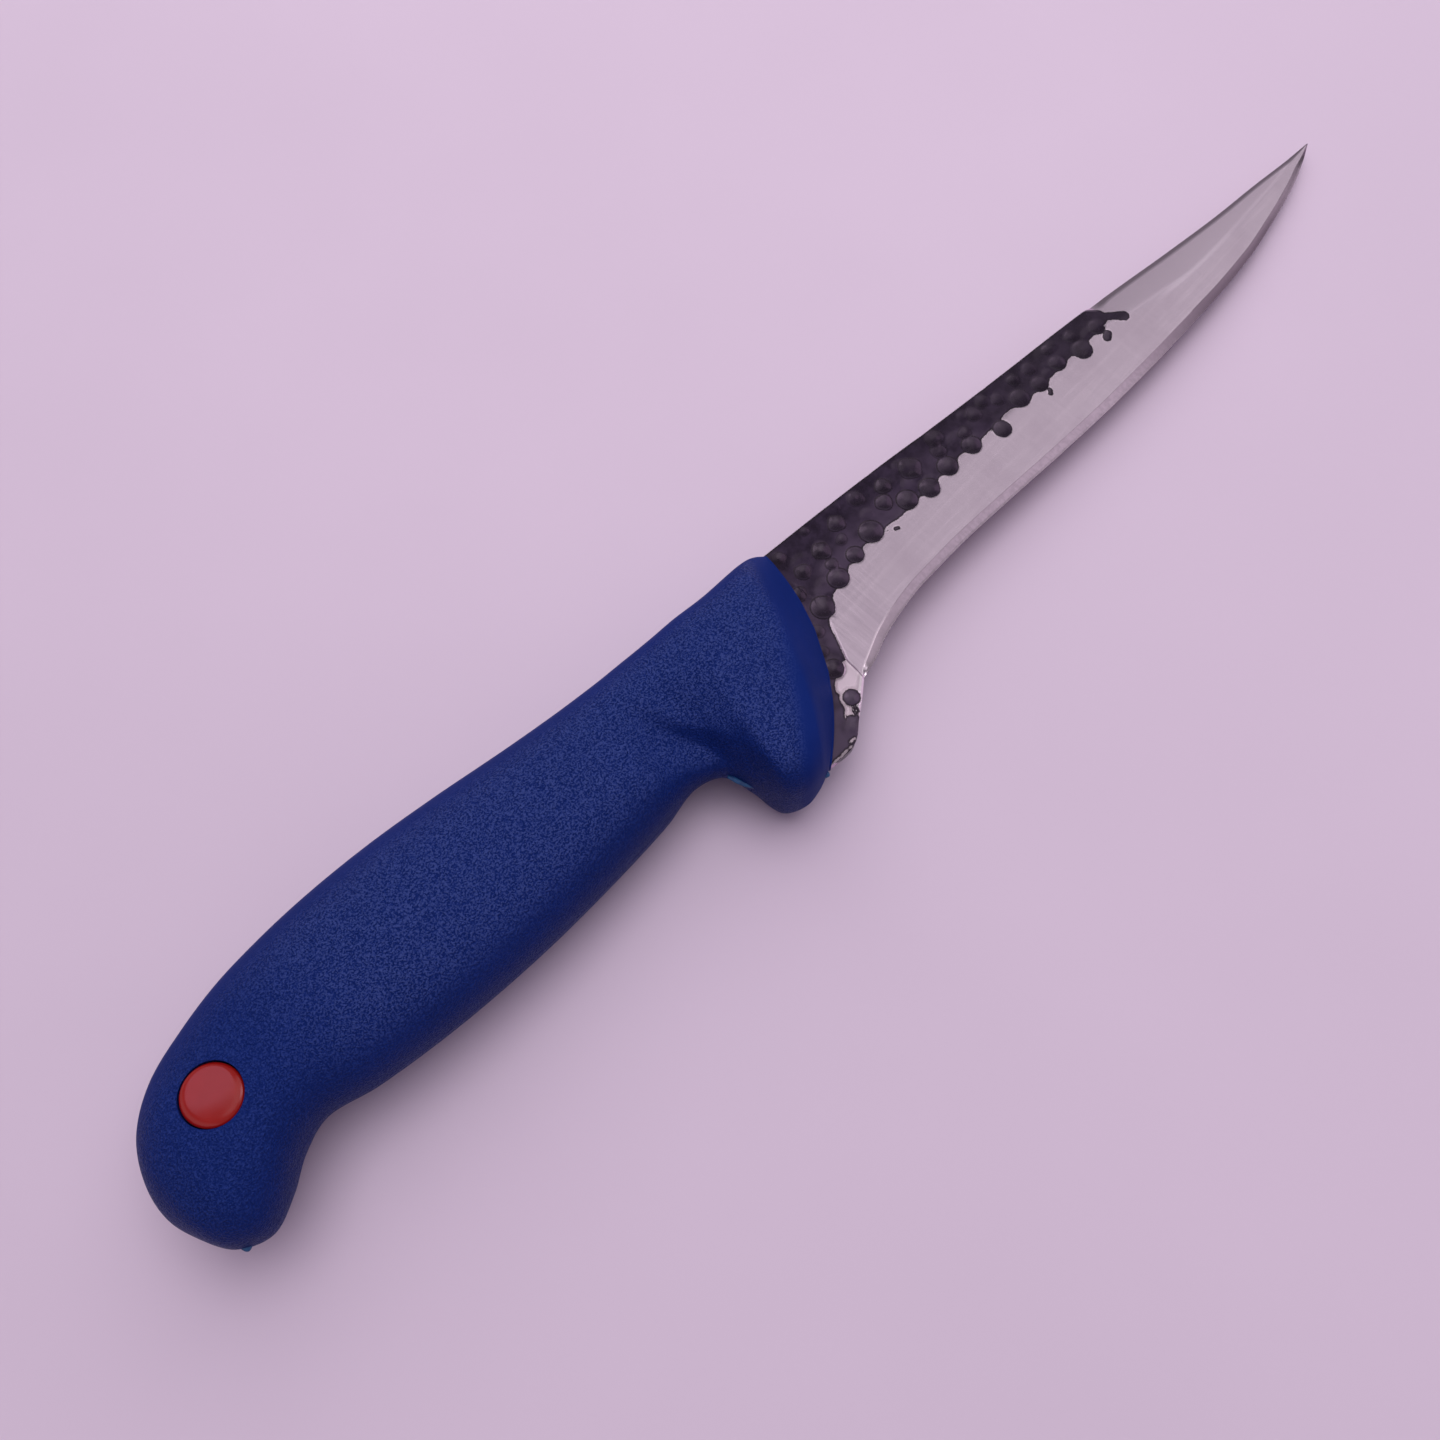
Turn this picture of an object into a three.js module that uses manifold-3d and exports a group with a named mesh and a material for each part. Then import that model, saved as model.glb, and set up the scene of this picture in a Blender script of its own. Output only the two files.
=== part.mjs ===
import * as THREE from "three";
import { mergeVertices } from "three/addons/utils/BufferGeometryUtils.js";
import Module from "manifold-3d";

// Butcher's boning knife with a moulded handle, lying on its side, in millimetres.
// Outlines are drawn in the mid-plane: x runs from pommel to tip with x = 0 at the heel of the edge,
// y runs from edge to spine, and z is the thickness, with z = 0 in the mid-plane.

// Blade
const BLADE_LENGTH = 150;
const BLADE_THICKNESS = 2.5;
const EDGE_THICKNESS = 0.16;
const BEVEL_WIDTH = 1.7;
const BEVEL_THICKNESS = 0.6;
const GRIND_HEIGHT = 11.8;
const PLUNGE_LENGTH = 0.9;
const SPINE_CHAMFER = 0.25;
const TAPER_START = 88;
const TIP_THICKNESS = 1.2;
const TIP_STUB = 0.3;
const SWEDGE_WIDTH = 1;

// Tang, hidden in the handle
const TANG_LENGTH = 72;
const TANG_ROOT_X = -26;
const TANG_ROOT_Y = 17.5;
const TANG_ROOT_HEIGHT = 14;
const TANG_END_Y = 23.5;
const TANG_END_HEIGHT = 9;
const TANG_HOLES = 3;
const TANG_HOLE_DIAMETER = 6;
const TANG_HOLE_FIRST = 12;
const TANG_HOLE_PITCH = 22;
const BACK_SHOULDER_X = 5.2;
const BACK_SHOULDER_DROP = 2.2;
const CHOIL_SHOULDER_X = -16.9;
const CHOIL_SHOULDER_RISE = 3;
const SHOULDER_STEP = 0.2;

// Handle
const HANDLE_LENGTH = 140.2;
const HANDLE_FRONT = 5.7;
const POMMEL_LENGTH = 36.4;
const GUARD_LENGTH = 46.7;
const HANDLE_THICKNESS = 22;
const NECK_THICKNESS = 19.8;
const POMMEL_THICKNESS = 20;
const LIP_WALL = 0.9;
const CLEARANCE = 0.3;
const SCOOP_LOW = 0.2;
const SCOOP_HIGH = 0.75;
const CROWN = 0.5;

// Plugs pressed into the two sides of the pommel
const PLUG_DIAMETER = 9.5;
const PLUG_DEPTH = 6;
const PLUG_FACE = 1.8;
const PLUG_WALL = 1.3;
const PLUG_DOME = 0.25;
const PLUG_EDGE = 0.35;
const PLUG_SINK = 0.15;
const PLUG_CLEARANCE = 0.25;
const PLUG_FROM_END = 16.9;
const PLUG_Y = 23.7;

// Near the tip the bevel and the chamfer take at most these shares of the blade's height
const BEVEL_MOST = 0.3;
const CHAMFER_MOST = 0.25;

// Mesh fineness
const BLADE_STEP = 4;
const ROOT_SHARES = [0, 0.1, 0.45, 0.9, 1];
const STEPS_PER_RIB = 3;
const QUARTER_POINTS = 6;
const ROUND_SEGMENTS = 40;

// Blade outline as [share of the blade's length, y], and the heel's underside as [x, y]
const SPINE = [
  [0.04, 25.85],
  [0.12, 24.55],
  [0.22, 22.7],
  [0.32, 20.55],
  [0.42, 18.6],
  [0.52, 16.85],
  [0.62, 14.85],
  [0.72, 12.55],
  [0.82, 10.45],
  [0.89, 9.4],
  [0.955, 8.2],
  [1, 7.5],
];
const EDGE = [
  [0, -1.8],
  [0.027, -1],
  [0.054, 0.3],
  [0.09, 1.4],
  [0.14, 2.1],
  [0.2, 2.05],
  [0.29, 1.3],
  [0.39, 0.2],
  [0.49, -0.6],
  [0.6, -0.9],
  [0.7, -0.75],
  [0.79, 0.05],
  [0.855, 1.5],
  [0.92, 3.4],
  [0.97, 5.6],
  [1, 7.4],
];
const HEEL = [
  [-17, -7.9],
  [-14.5, -8.4],
  [-11.7, -8.7],
  [-9.3, -8],
  [-6.7, -6.2],
  [-3.8, -4.4],
  [0, -1.8],
];

// Ribs of the handle. Each crosses it from belly to back as [x, y]. half is a share of the zone's half
// thickness, round the power of its rounding, flat the half width of its flat crown as a share of the rib,
// bow how far it bulges forward, and scoop how much its lower side is hollowed for the finger.
const HANDLE_END = HANDLE_FRONT - HANDLE_LENGTH;
const GRIP_REAR = HANDLE_END + POMMEL_LENGTH;
const GRIP_FRONT = HANDLE_FRONT - GUARD_LENGTH;
const LIP_THICKNESS = BLADE_THICKNESS + 2 * (CLEARANCE + LIP_WALL);

// Places x are measured from the handle's end
const POMMEL_RIBS = [
  { back: [0, 18.2], belly: [0, 18.2], half: 0, round: 2.2, flat: 0.03 },
  { back: [1.4, 24.4], belly: [1.2, 12.7], half: 0.47, round: 2.2, flat: 0.03 },
  { back: [5.2, 30.4], belly: [4, 7.4], half: 0.83, round: 2.3, flat: 0.03 },
  { back: [11.8, 34.8], belly: [8.6, 5.3], half: 1, round: 2.4, flat: 0.03 },
  { back: [19.8, 37.2], belly: [13.9, 7.2], half: 1, round: 2.4, flat: 0.03 },
  { back: [27.8, 38.6], belly: [19.1, 10.4], half: 1, round: 2.4, flat: 0.03 },
  { back: [36.4, 39.1], belly: [24.7, 12], half: 1.03, round: 2.3, flat: 0.03 },
];
// Places x are shares of the grip's length
const GRIP_RIBS = [
  { back: [0.175, 38.9], belly: [-0.053, 9.6], half: 0.98, round: 2.3, flat: 0.03 },
  { back: [0.386, 37.8], belly: [0.193, 7.1], half: 1, round: 2.3, flat: 0.03 },
  { back: [0.596, 35.9], belly: [0.474, 5.5], half: 0.99, round: 2.3, flat: 0.03 },
  { back: [0.807, 33.6], belly: [0.754, 5], half: 0.95, round: 2.3, flat: 0.03 },
];
// Places x are measured from the heel of the edge
const NECK_RIBS = [
  { back: [-41, 31.6], belly: [-41.5, 5.3], half: 1.02, round: 2.4, flat: 0.03, scoop: 0 },
  { back: [-33, 30.4], belly: [-33.2, 6], half: 1, round: 2.5, flat: 0.03, scoop: 0.1 },
  { back: [-26.5, 29.6], belly: [-28.7, 3.7], half: 1, round: 2.7, flat: 0.06, scoop: 0.22 },
  { back: [-20.5, 28.8], belly: [-27.1, -2.2], half: 1.05, round: 3, flat: 0.1, scoop: 0.16 },
];
const GUARD_RIBS = [
  { back: [-14.5, 28.1], belly: [-25.7, -7.2], half: 1, round: 3.2, flat: 0.15, bow: 0.6 },
  { back: [-8.5, 27.4], belly: [-22.4, -9], half: 1, round: 3.2, flat: 0.15, bow: 1.5 },
  { back: [-1.5, 27.3], belly: [-19.6, -8.9], half: 0.9, round: 3.2, flat: 0.12, bow: 2.5 },
  { back: [3.1, 27.2], belly: [-17.8, -8.5], half: 0.56, round: 3.6, flat: 0.1, bow: 3.6 },
];
const LIP_RIB = { back: [5.7, 26.1], belly: [-16.6, -8.1], half: 1, round: 5, flat: 0.1, bow: 4.6 };

function placedRibs(ribs, placeX, thickness) {
  return ribs.map((rib) => ({
    back: new THREE.Vector3(placeX(rib.back[0]), rib.back[1], 0),
    belly: new THREE.Vector3(placeX(rib.belly[0]), rib.belly[1], 0),
    half: (rib.half * thickness) / 2,
    round: rib.round,
    flat: rib.flat,
    bow: rib.bow ?? 0,
    scoop: rib.scoop ?? 0,
  }));
}

const fromEnd = (x) => HANDLE_END + x;
const alongGrip = (share) => THREE.MathUtils.lerp(GRIP_REAR, GRIP_FRONT, share);
const fromHeel = (x) => x;
const RIBS = [
  ...placedRibs(POMMEL_RIBS, fromEnd, POMMEL_THICKNESS),
  ...placedRibs(GRIP_RIBS, alongGrip, HANDLE_THICKNESS),
  ...placedRibs(NECK_RIBS, fromHeel, NECK_THICKNESS),
  ...placedRibs(GUARD_RIBS, fromHeel, HANDLE_THICKNESS),
  ...placedRibs([LIP_RIB], fromHeel, LIP_THICKNESS),
];

// A curve y(x) through points that never overshoots between them
function through(points) {
  const slopes = points.slice(1).map(([x, y], i) => (y - points[i][1]) / (x - points[i][0]));
  const tangents = points.map((_, i) => {
    const before = slopes[Math.max(i - 1, 0)];
    const after = slopes[Math.min(i, slopes.length - 1)];
    return before * after <= 0 ? 0 : (2 * before * after) / (before + after);
  });
  return (x) => {
    const last = points.length - 2;
    const found = points.findIndex(([px]) => px > x);
    const i = found < 0 ? last : THREE.MathUtils.clamp(found - 1, 0, last);
    const span = points[i + 1][0] - points[i][0];
    const u = (x - points[i][0]) / span;
    if (u < 0) return points[i][1] + tangents[i] * u * span;
    const [start, end] = [points[i][1], points[i + 1][1]];
    const [lead, trail] = [tangents[i] * span, tangents[i + 1] * span];
    const cube = 2 * start - 2 * end + lead + trail;
    const square = 3 * end - 3 * start - 2 * lead - trail;
    return ((cube * u + square) * u + lead) * u + start;
  };
}

const alongBlade = ([share, y]) => [share * BLADE_LENGTH, y];
const spineY = through(SPINE.map(alongBlade));
const edgeY = through(EDGE.map(alongBlade));
const heelY = through(HEEL);

// A solid that is alike on both sides of the mid-plane. Each station is a row of points [x, y, half
// thickness] from its low side to its high side, and the rows run from pommel to tip.
function mirroredSolid(stations) {
  const rows = stations.length;
  const columns = stations[0].length;
  const vertices = [];
  for (const side of [1, -1]) {
    for (const row of stations) {
      for (const [x, y, half] of row) vertices.push(x, y, side * half);
    }
  }
  const near = (row, column) => row * columns + column;
  const far = (row, column) => rows * columns + near(row, column);
  const triangles = [];
  const quad = (a, b, c, d) => triangles.push(a, b, c, a, c, d);
  for (let i = 0; i + 1 < rows; i++) {
    for (let k = 0; k + 1 < columns; k++) {
      quad(near(i, k), near(i + 1, k), near(i + 1, k + 1), near(i, k + 1));
      quad(far(i, k), far(i, k + 1), far(i + 1, k + 1), far(i + 1, k));
    }
    quad(far(i, 0), far(i + 1, 0), near(i + 1, 0), near(i, 0));
    const top = columns - 1;
    quad(near(i, top), near(i + 1, top), far(i + 1, top), far(i, top));
  }
  for (let k = 0; k + 1 < columns; k++) {
    quad(far(0, k), near(0, k), near(0, k + 1), far(0, k + 1));
    quad(near(rows - 1, k), far(rows - 1, k), far(rows - 1, k + 1), near(rows - 1, k + 1));
  }
  const geometry = new THREE.BufferGeometry();
  geometry.setAttribute("position", new THREE.Float32BufferAttribute(vertices, 3));
  geometry.setIndex(triangles);
  return geometry;
}

const wasm = await Module();
wasm.setup();

function solid(geometry) {
  const bare = geometry.clone();
  bare.deleteAttribute("normal");
  bare.deleteAttribute("uv");
  const merged = mergeVertices(bare);
  const corners = merged.index.array;
  const triVerts = [];
  for (let i = 0; i < corners.length; i += 3) {
    const [a, b, c] = corners.slice(i, i + 3);
    if (a !== b && b !== c && c !== a) triVerts.push(a, b, c);
  }
  return new wasm.Manifold(
    new wasm.Mesh({
      numProp: 3,
      vertProperties: merged.attributes.position.array,
      triVerts: new Uint32Array(triVerts),
    }),
  );
}

function meshOf(name, body, material) {
  const { vertProperties, triVerts } = body.getMesh();
  const geometry = new THREE.BufferGeometry();
  geometry.setAttribute("position", new THREE.BufferAttribute(vertProperties, 3));
  geometry.setIndex(new THREE.BufferAttribute(triVerts, 1));
  geometry.computeVertexNormals();
  const mesh = new THREE.Mesh(geometry, material);
  mesh.name = name;
  return mesh;
}

// Root of the blade, from the tang's end to just past the handle's front, as [x, low y, high y]
function tangStation(share) {
  const x = TANG_ROOT_X - (1 - share) * TANG_LENGTH;
  const middle = THREE.MathUtils.lerp(TANG_END_Y, TANG_ROOT_Y, share);
  const height = THREE.MathUtils.lerp(TANG_END_HEIGHT, TANG_ROOT_HEIGHT, share);
  return [x, middle - height / 2, middle + height / 2];
}

function rootStations() {
  const underBack = (x) => spineY(x) - BACK_SHOULDER_DROP;
  const tangTop = TANG_ROOT_Y + TANG_ROOT_HEIGHT / 2;
  const backAt = (x) => THREE.MathUtils.mapLinear(x, TANG_ROOT_X, BACK_SHOULDER_X, tangTop, underBack(x));
  const choilRise = heelY(CHOIL_SHOULDER_X) + CHOIL_SHOULDER_RISE;
  const exposed = HEEL.map(([x]) => x).filter((x) => x > CHOIL_SHOULDER_X);
  return [
    tangStation(0),
    tangStation(0.5),
    tangStation(1),
    [CHOIL_SHOULDER_X - SHOULDER_STEP, choilRise, backAt(CHOIL_SHOULDER_X)],
    [CHOIL_SHOULDER_X, heelY(CHOIL_SHOULDER_X), backAt(CHOIL_SHOULDER_X)],
    ...exposed.map((x) => [x, heelY(x), backAt(x)]),
  ];
}

const ROOT = rootStations();

// Half thickness profile of the ground blade at x
function groundRow(x) {
  const [low, high] = [edgeY(x), spineY(x)];
  const height = high - low;
  const taper = THREE.MathUtils.clamp((x - TAPER_START) / (BLADE_LENGTH - TAPER_START), 0, 1);
  const most = THREE.MathUtils.lerp(BLADE_THICKNESS, TIP_THICKNESS, taper) / 2;
  const bevel = Math.min(BEVEL_WIDTH, BEVEL_MOST * height);
  const rise = BEVEL_THICKNESS / 2;
  const slope = (BLADE_THICKNESS / 2 - rise) / (GRIND_HEIGHT - BEVEL_WIDTH);
  const chamfer = Math.min(x > TAPER_START ? SWEDGE_WIDTH : SPINE_CHAMFER, CHAMFER_MOST * height);
  const room = (bevel + height - chamfer) / 2;
  const line = Math.max(Math.min(bevel + (most - rise) / slope, height - 2 * chamfer), room);
  const body = Math.min(most, rise + (line - bevel) * slope);
  return [
    [x, low, EDGE_THICKNESS / 2],
    [x, low + bevel, Math.min(rise, body)],
    [x, low + line, body],
    [x, high - chamfer, body],
    [x, high, Math.max(body - chamfer / 2, EDGE_THICKNESS / 2)],
  ];
}

// The root's square section, with as many points as the ground one
function squareRow([x, low, high], thickness) {
  return ROOT_SHARES.map((share) => [x, THREE.MathUtils.lerp(low, high, share), thickness / 2]);
}

// One pin through each tang hole, of the given diameter
function tangPins(diameter) {
  const length = HANDLE_THICKNESS;
  return Array.from({ length: TANG_HOLES }, (_, i) => {
    const [x, low, high] = tangStation(1 - (TANG_HOLE_FIRST + i * TANG_HOLE_PITCH) / TANG_LENGTH);
    const pin = new THREE.CylinderGeometry(diameter / 2, diameter / 2, length, ROUND_SEGMENTS);
    return solid(pin.rotateX(Math.PI / 2).translate(x, (low + high) / 2, 0));
  });
}

function bladeBody() {
  const rows = ROOT.map((station) => squareRow(station, BLADE_THICKNESS));
  rows.push(...shoulderRows());
  const first = BACK_SHOULDER_X + SHOULDER_STEP;
  const last = BLADE_LENGTH - TIP_STUB;
  const steps = Math.round((last - first) / BLADE_STEP);
  for (let i = 0; i <= steps; i++) rows.push(groundRow(THREE.MathUtils.lerp(first, last, i / steps)));
  const whole = solid(mirroredSolid(rows));
  return tangPins(TANG_HOLE_DIAMETER).reduce((body, pin) => body.subtract(pin), whole);
}

// The grind runs out over the plunge, while the back is still under the handle's front corner
function shoulderRows() {
  return [PLUNGE_LENGTH, BACK_SHOULDER_X].map((x) => {
    const high = spineY(x) - BACK_SHOULDER_DROP;
    const half = BLADE_THICKNESS / 2;
    return [...groundRow(x).slice(0, -2), [x, high - SPINE_CHAMFER, half], [x, high, half]];
  });
}

// The space that the blade's root takes up in the handle, with clearance all round
function rootSpace() {
  const grown = ROOT.map(([x, low, high]) => [x - CLEARANCE, low - CLEARANCE, high + CLEARANCE]);
  const cornerX = BACK_SHOULDER_X - CLEARANCE;
  const under = spineY(BACK_SHOULDER_X) - BACK_SHOULDER_DROP + CLEARANCE;
  const over = spineY(BACK_SHOULDER_X) + CLEARANCE;
  const low = edgeY(0) - CLEARANCE;
  grown.push([cornerX, low, under]);
  grown.push([cornerX + SHOULDER_STEP, low, over]);
  grown.push([HANDLE_FRONT + GUARD_LENGTH, low, over]);
  const space = solid(mirroredSolid(grown.map((row) => squareRow(row, BLADE_THICKNESS + 2 * CLEARANCE))));
  const pins = tangPins(TANG_HOLE_DIAMETER - 2 * CLEARANCE);
  return pins.reduce((body, pin) => body.subtract(pin), space);
}

// Section of the handle as [share along the rib, share of its half thickness], belly to back
function sectionPoints(round, flat) {
  const points = [];
  for (const side of [-1, 1]) {
    const reach = (side < 0 ? CROWN : 1 - CROWN) - flat;
    for (let i = 0; i <= QUARTER_POINTS; i++) {
      const step = side < 0 ? QUARTER_POINTS - i : i;
      const angle = (step / QUARTER_POINTS) * (Math.PI / 2);
      const out = Math.sin(angle) ** (2 / round);
      const up = step === QUARTER_POINTS ? 0 : Math.cos(angle) ** (2 / round);
      points.push([CROWN + side * (flat + reach * out), up]);
    }
  }
  return points;
}

function handleBody() {
  const last = RIBS.length - 1;
  const outline = [...RIBS.slice(1).reverse().map((rib) => rib.belly), ...RIBS.map((rib) => rib.back)];
  const curve = new THREE.CatmullRomCurve3(outline, false, "centripetal");
  const along = (key) => through(RIBS.map((rib, i) => [i, rib[key]]));
  const [half, round, flat, bow, scoop] = ["half", "round", "flat", "bow", "scoop"].map(along);
  const stations = [];
  for (let i = 0; i <= last * STEPS_PER_RIB; i++) {
    const s = i / STEPS_PER_RIB;
    const back = curve.getPoint((last + s) / (2 * last));
    const belly = curve.getPoint((last - s) / (2 * last));
    const forward = new THREE.Vector3(back.y - belly.y, belly.x - back.x, 0).normalize();
    const row = sectionPoints(round(s), flat(s)).map(([share, up]) => {
      const bulge = bow(s) * 4 * share * (1 - share);
      const point = belly.clone().lerp(back, share).addScaledVector(forward, bulge);
      const hollow = 1 - scoop(s) * (1 - THREE.MathUtils.smoothstep(share, SCOOP_LOW, SCOOP_HIGH));
      return [point.x, point.y, half(s) * up * hollow];
    });
    stations.push(row);
  }
  return solid(mirroredSolid(stations));
}

function plugPlace(side) {
  const seat = side * (POMMEL_THICKNESS / 2 - PLUG_SINK);
  const turn = side > 0 ? Math.PI / 2 : -Math.PI / 2;
  return new THREE.Matrix4().makeTranslation(HANDLE_END + PLUG_FROM_END, PLUG_Y, seat)
    .multiply(new THREE.Matrix4().makeRotationX(turn));
}

// A cup with a slightly domed face, and a small chamfer round it
function plugBody(side) {
  const radius = PLUG_DIAMETER / 2;
  const rim = radius - PLUG_EDGE;
  const inner = radius - PLUG_WALL;
  const profile = [
    [0, -PLUG_FACE],
    [inner, -PLUG_FACE],
    [inner, -PLUG_DEPTH],
    [radius, -PLUG_DEPTH],
    [radius, -PLUG_DOME - PLUG_EDGE],
    [rim, -PLUG_DOME],
    [rim / 2, -PLUG_DOME / 4],
    [0, 0],
  ];
  const points = profile.map(([r, h]) => new THREE.Vector2(r, h));
  return solid(new THREE.LatheGeometry(points, ROUND_SEGMENTS).applyMatrix4(plugPlace(side)));
}

function plugPocket(side) {
  const radius = PLUG_DIAMETER / 2 + PLUG_CLEARANCE;
  const bottom = -PLUG_DEPTH - PLUG_CLEARANCE;
  const top = PLUG_DEPTH;
  const pocket = new THREE.CylinderGeometry(radius, radius, top - bottom, ROUND_SEGMENTS);
  return solid(pocket.translate(0, (top + bottom) / 2, 0).applyMatrix4(plugPlace(side)));
}

const SIDES = { plug_near: 1, plug_far: -1 };
const steel = new THREE.MeshStandardMaterial({ color: 0xaaa3ae, roughness: 0.35, metalness: 1 });
const bluePlastic = new THREE.MeshStandardMaterial({ color: 0x22357c, roughness: 0.6, metalness: 0 });
const redPlastic = new THREE.MeshStandardMaterial({ color: 0x9c2a2c, roughness: 0.25, metalness: 0 });

const pockets = Object.values(SIDES).map(plugPocket);
const handle = pockets.reduce((body, pocket) => body.subtract(pocket), handleBody().subtract(rootSpace()));

const knife = new THREE.Group();
knife.name = "boning_knife";
knife.add(meshOf("blade", bladeBody(), steel));
knife.add(meshOf("handle", handle, bluePlastic));
for (const [name, side] of Object.entries(SIDES)) knife.add(meshOf(name, plugBody(side), redPlastic));

// The part's origin is under the middle of the knife, on the surface that it lies on
const box = new THREE.Box3().setFromObject(knife);
const middle = box.getCenter(new THREE.Vector3());
knife.position.set(-middle.x, -middle.y, -box.min.z);

export default knife;
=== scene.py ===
import math

import bmesh
import bpy
import numpy as np
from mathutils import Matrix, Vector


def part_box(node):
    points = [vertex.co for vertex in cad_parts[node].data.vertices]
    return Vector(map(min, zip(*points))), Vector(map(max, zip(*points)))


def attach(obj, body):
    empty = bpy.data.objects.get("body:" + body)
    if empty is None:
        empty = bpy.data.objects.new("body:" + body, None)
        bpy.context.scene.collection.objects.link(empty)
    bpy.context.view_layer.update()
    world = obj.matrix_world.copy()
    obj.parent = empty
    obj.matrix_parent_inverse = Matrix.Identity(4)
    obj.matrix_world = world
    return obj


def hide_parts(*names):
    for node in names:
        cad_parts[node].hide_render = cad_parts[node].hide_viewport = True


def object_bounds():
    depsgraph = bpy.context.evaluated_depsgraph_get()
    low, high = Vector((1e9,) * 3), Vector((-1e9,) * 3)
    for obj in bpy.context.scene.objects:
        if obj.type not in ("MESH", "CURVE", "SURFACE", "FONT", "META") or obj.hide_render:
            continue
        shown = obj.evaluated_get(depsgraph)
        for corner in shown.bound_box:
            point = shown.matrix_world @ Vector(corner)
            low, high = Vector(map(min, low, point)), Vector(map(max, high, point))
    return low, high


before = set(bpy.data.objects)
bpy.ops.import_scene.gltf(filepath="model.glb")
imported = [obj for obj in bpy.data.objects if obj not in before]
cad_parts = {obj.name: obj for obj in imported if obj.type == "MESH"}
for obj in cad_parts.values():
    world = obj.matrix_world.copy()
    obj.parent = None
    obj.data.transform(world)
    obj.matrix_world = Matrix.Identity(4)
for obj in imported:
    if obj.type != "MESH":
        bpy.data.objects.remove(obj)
CAD_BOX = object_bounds()

# A curved boning knife lying on its side. Sizes are in millimetres and become metres in place().
# Outlines are drawn as in the construction: x from pommel to tip with x = 0 at the heel of the edge,
# y from edge to spine, and z from the mid-plane of the blade. Angles are in degrees.
MM = 0.001
SEED = 7
TINY = 1e-9

# Blade
BLADE_LENGTH = 150
TIP_STUB = 0.3
BLADE_HALF = 1.25
EDGE_HALF = 0.04
MICRO_WIDTH = 0.4
MICRO_HALF = 0.17
BEVEL_HALF = 0.46
GRIND_SLOPE = 0.078
GRIND_BLEND = 0.04
PLUNGE_WIDTH = 0.35
PLUNGE_END_X = 4
HEEL_CHAMFER = 0.45
HEEL_CHAMFER_DROP = 0.4
SPINE_LEAST = 0.12
EDGE_LEAST = 0.3
HEEL_TURN = (-0.3, 0.3)
SWEDGE_SLOPE = 0.42
FINE_END_X = 92
FINE_STEP = 0.25
COARSE_STEP = 0.6
BLADE_COLUMNS = 84
CREASE_LINES = 7
BEVEL_LINE_HALF = 0.12
# Shift and width of a glint painted along the bevel's upper crease
GLINT_SHIFT, GLINT_WIDTH = -0.08, 0.11
# Most that a width may take of the blade's height, or of the width that holds it
BEVEL_MOST = 0.3
CHAMFER_MOST = 0.3
MICRO_MOST_OF_BEVEL, MICRO_MOST = 0.4, 0.12
LINE_MOST_OF_BEVEL, LINE_MOST_OF_STEP = 0.3, 0.4

# Root of the blade in the handle
ROOT_X = -24
TANG_END_X = -98
TANG_ROOT_X = -20
TANG_MIDDLE = [(-98, 23.5), (-26, 17.5), (-20, 16.6)]
TANG_HEIGHT = [(-98, 9), (-26, 14), (-20, 15)]
TANG_HOLES_X = (-82, -60, -38)
TANG_HOLE_RADIUS = 3
TANG_STEPS = 40
# Reach of a cutter past the skin
CUT_REACH = 2
BACK_SHOULDER_X = 5.2
BACK_SHOULDER_DROP = 2.2
BACK_AT_ROOT = 24.5
CHOIL_SHOULDER_X = -16.9
CHOIL_SHOULDER_RISE = 3

# Handle and plugs
HANDLE_LENGTH = 140.2
HANDLE_FRONT = 5.7
POMMEL_LENGTH = 36.4
GUARD_LENGTH = 46.7
HANDLE_THICKNESS = 22
NECK_THICKNESS = 19.8
POMMEL_THICKNESS = 20
LIP_THICKNESS = 4.9
LIP_ROUND = 0.35
LIP_INNER = 0.8
LIP_STEPS = 5
SCOOP_LOW, SCOOP_HIGH = 0.2, 0.75
CROWN = 0.5
SEAM_HEIGHT = 0.1
HANDLE_STEPS = 18
QUARTER_POINTS = 34
HANDLE_MERGE = 1e-4
HANDLE_SHARP = 40
PLUG_RADIUS = 4.72
PLUG_DEPTH = 6
PLUG_ROUND_WIDTH = 1.3
PLUG_ROUND_DEPTH = 0.45
PLUG_DOME = 0.2
PLUG_SINK = 0.15
PLUG_CLEARANCE = 0.2
PLUG_FROM_END = 16.9
PLUG_Y = 23.7
PLUG_RINGS = 28
PLUG_SHARP = 50
ROUND_SEGMENTS = 128

HANDLE_END = HANDLE_FRONT - HANDLE_LENGTH
GRIP_REAR = HANDLE_END + POMMEL_LENGTH
GRIP_FRONT = HANDLE_FRONT - GUARD_LENGTH

# Blade outline as (share of the blade's length, y), and the heel's underside as (x, y)
SPINE = [
    (0.04, 25.85), (0.12, 24.55), (0.22, 22.7), (0.32, 20.55), (0.42, 18.6), (0.52, 16.85),
    (0.62, 14.85), (0.72, 12.55), (0.82, 10.45), (0.89, 9.4), (0.955, 8.2), (1, 7.5),
]
EDGE = [
    (0, -1.8), (0.027, -1), (0.054, 0.3), (0.09, 1.4), (0.14, 2.1), (0.2, 2.05), (0.29, 1.3), (0.39, 0.2),
    (0.49, -0.6), (0.6, -0.9), (0.7, -0.75), (0.79, 0.05), (0.855, 1.5), (0.92, 3.4), (0.97, 5.6), (1, 7.4),
]
HEEL = [(-17, -7.9), (-14.5, -8.4), (-11.7, -8.7), (-9.3, -8), (-6.7, -6.2), (-3.8, -4.4), (0, -1.8)]
# Half thickness of the unground blade along x
TAPER = [(84, 1.25), (92, 1.1), (99, 1), (108, 0.88), (122, 0.8), (150, 0.5)]
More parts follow.
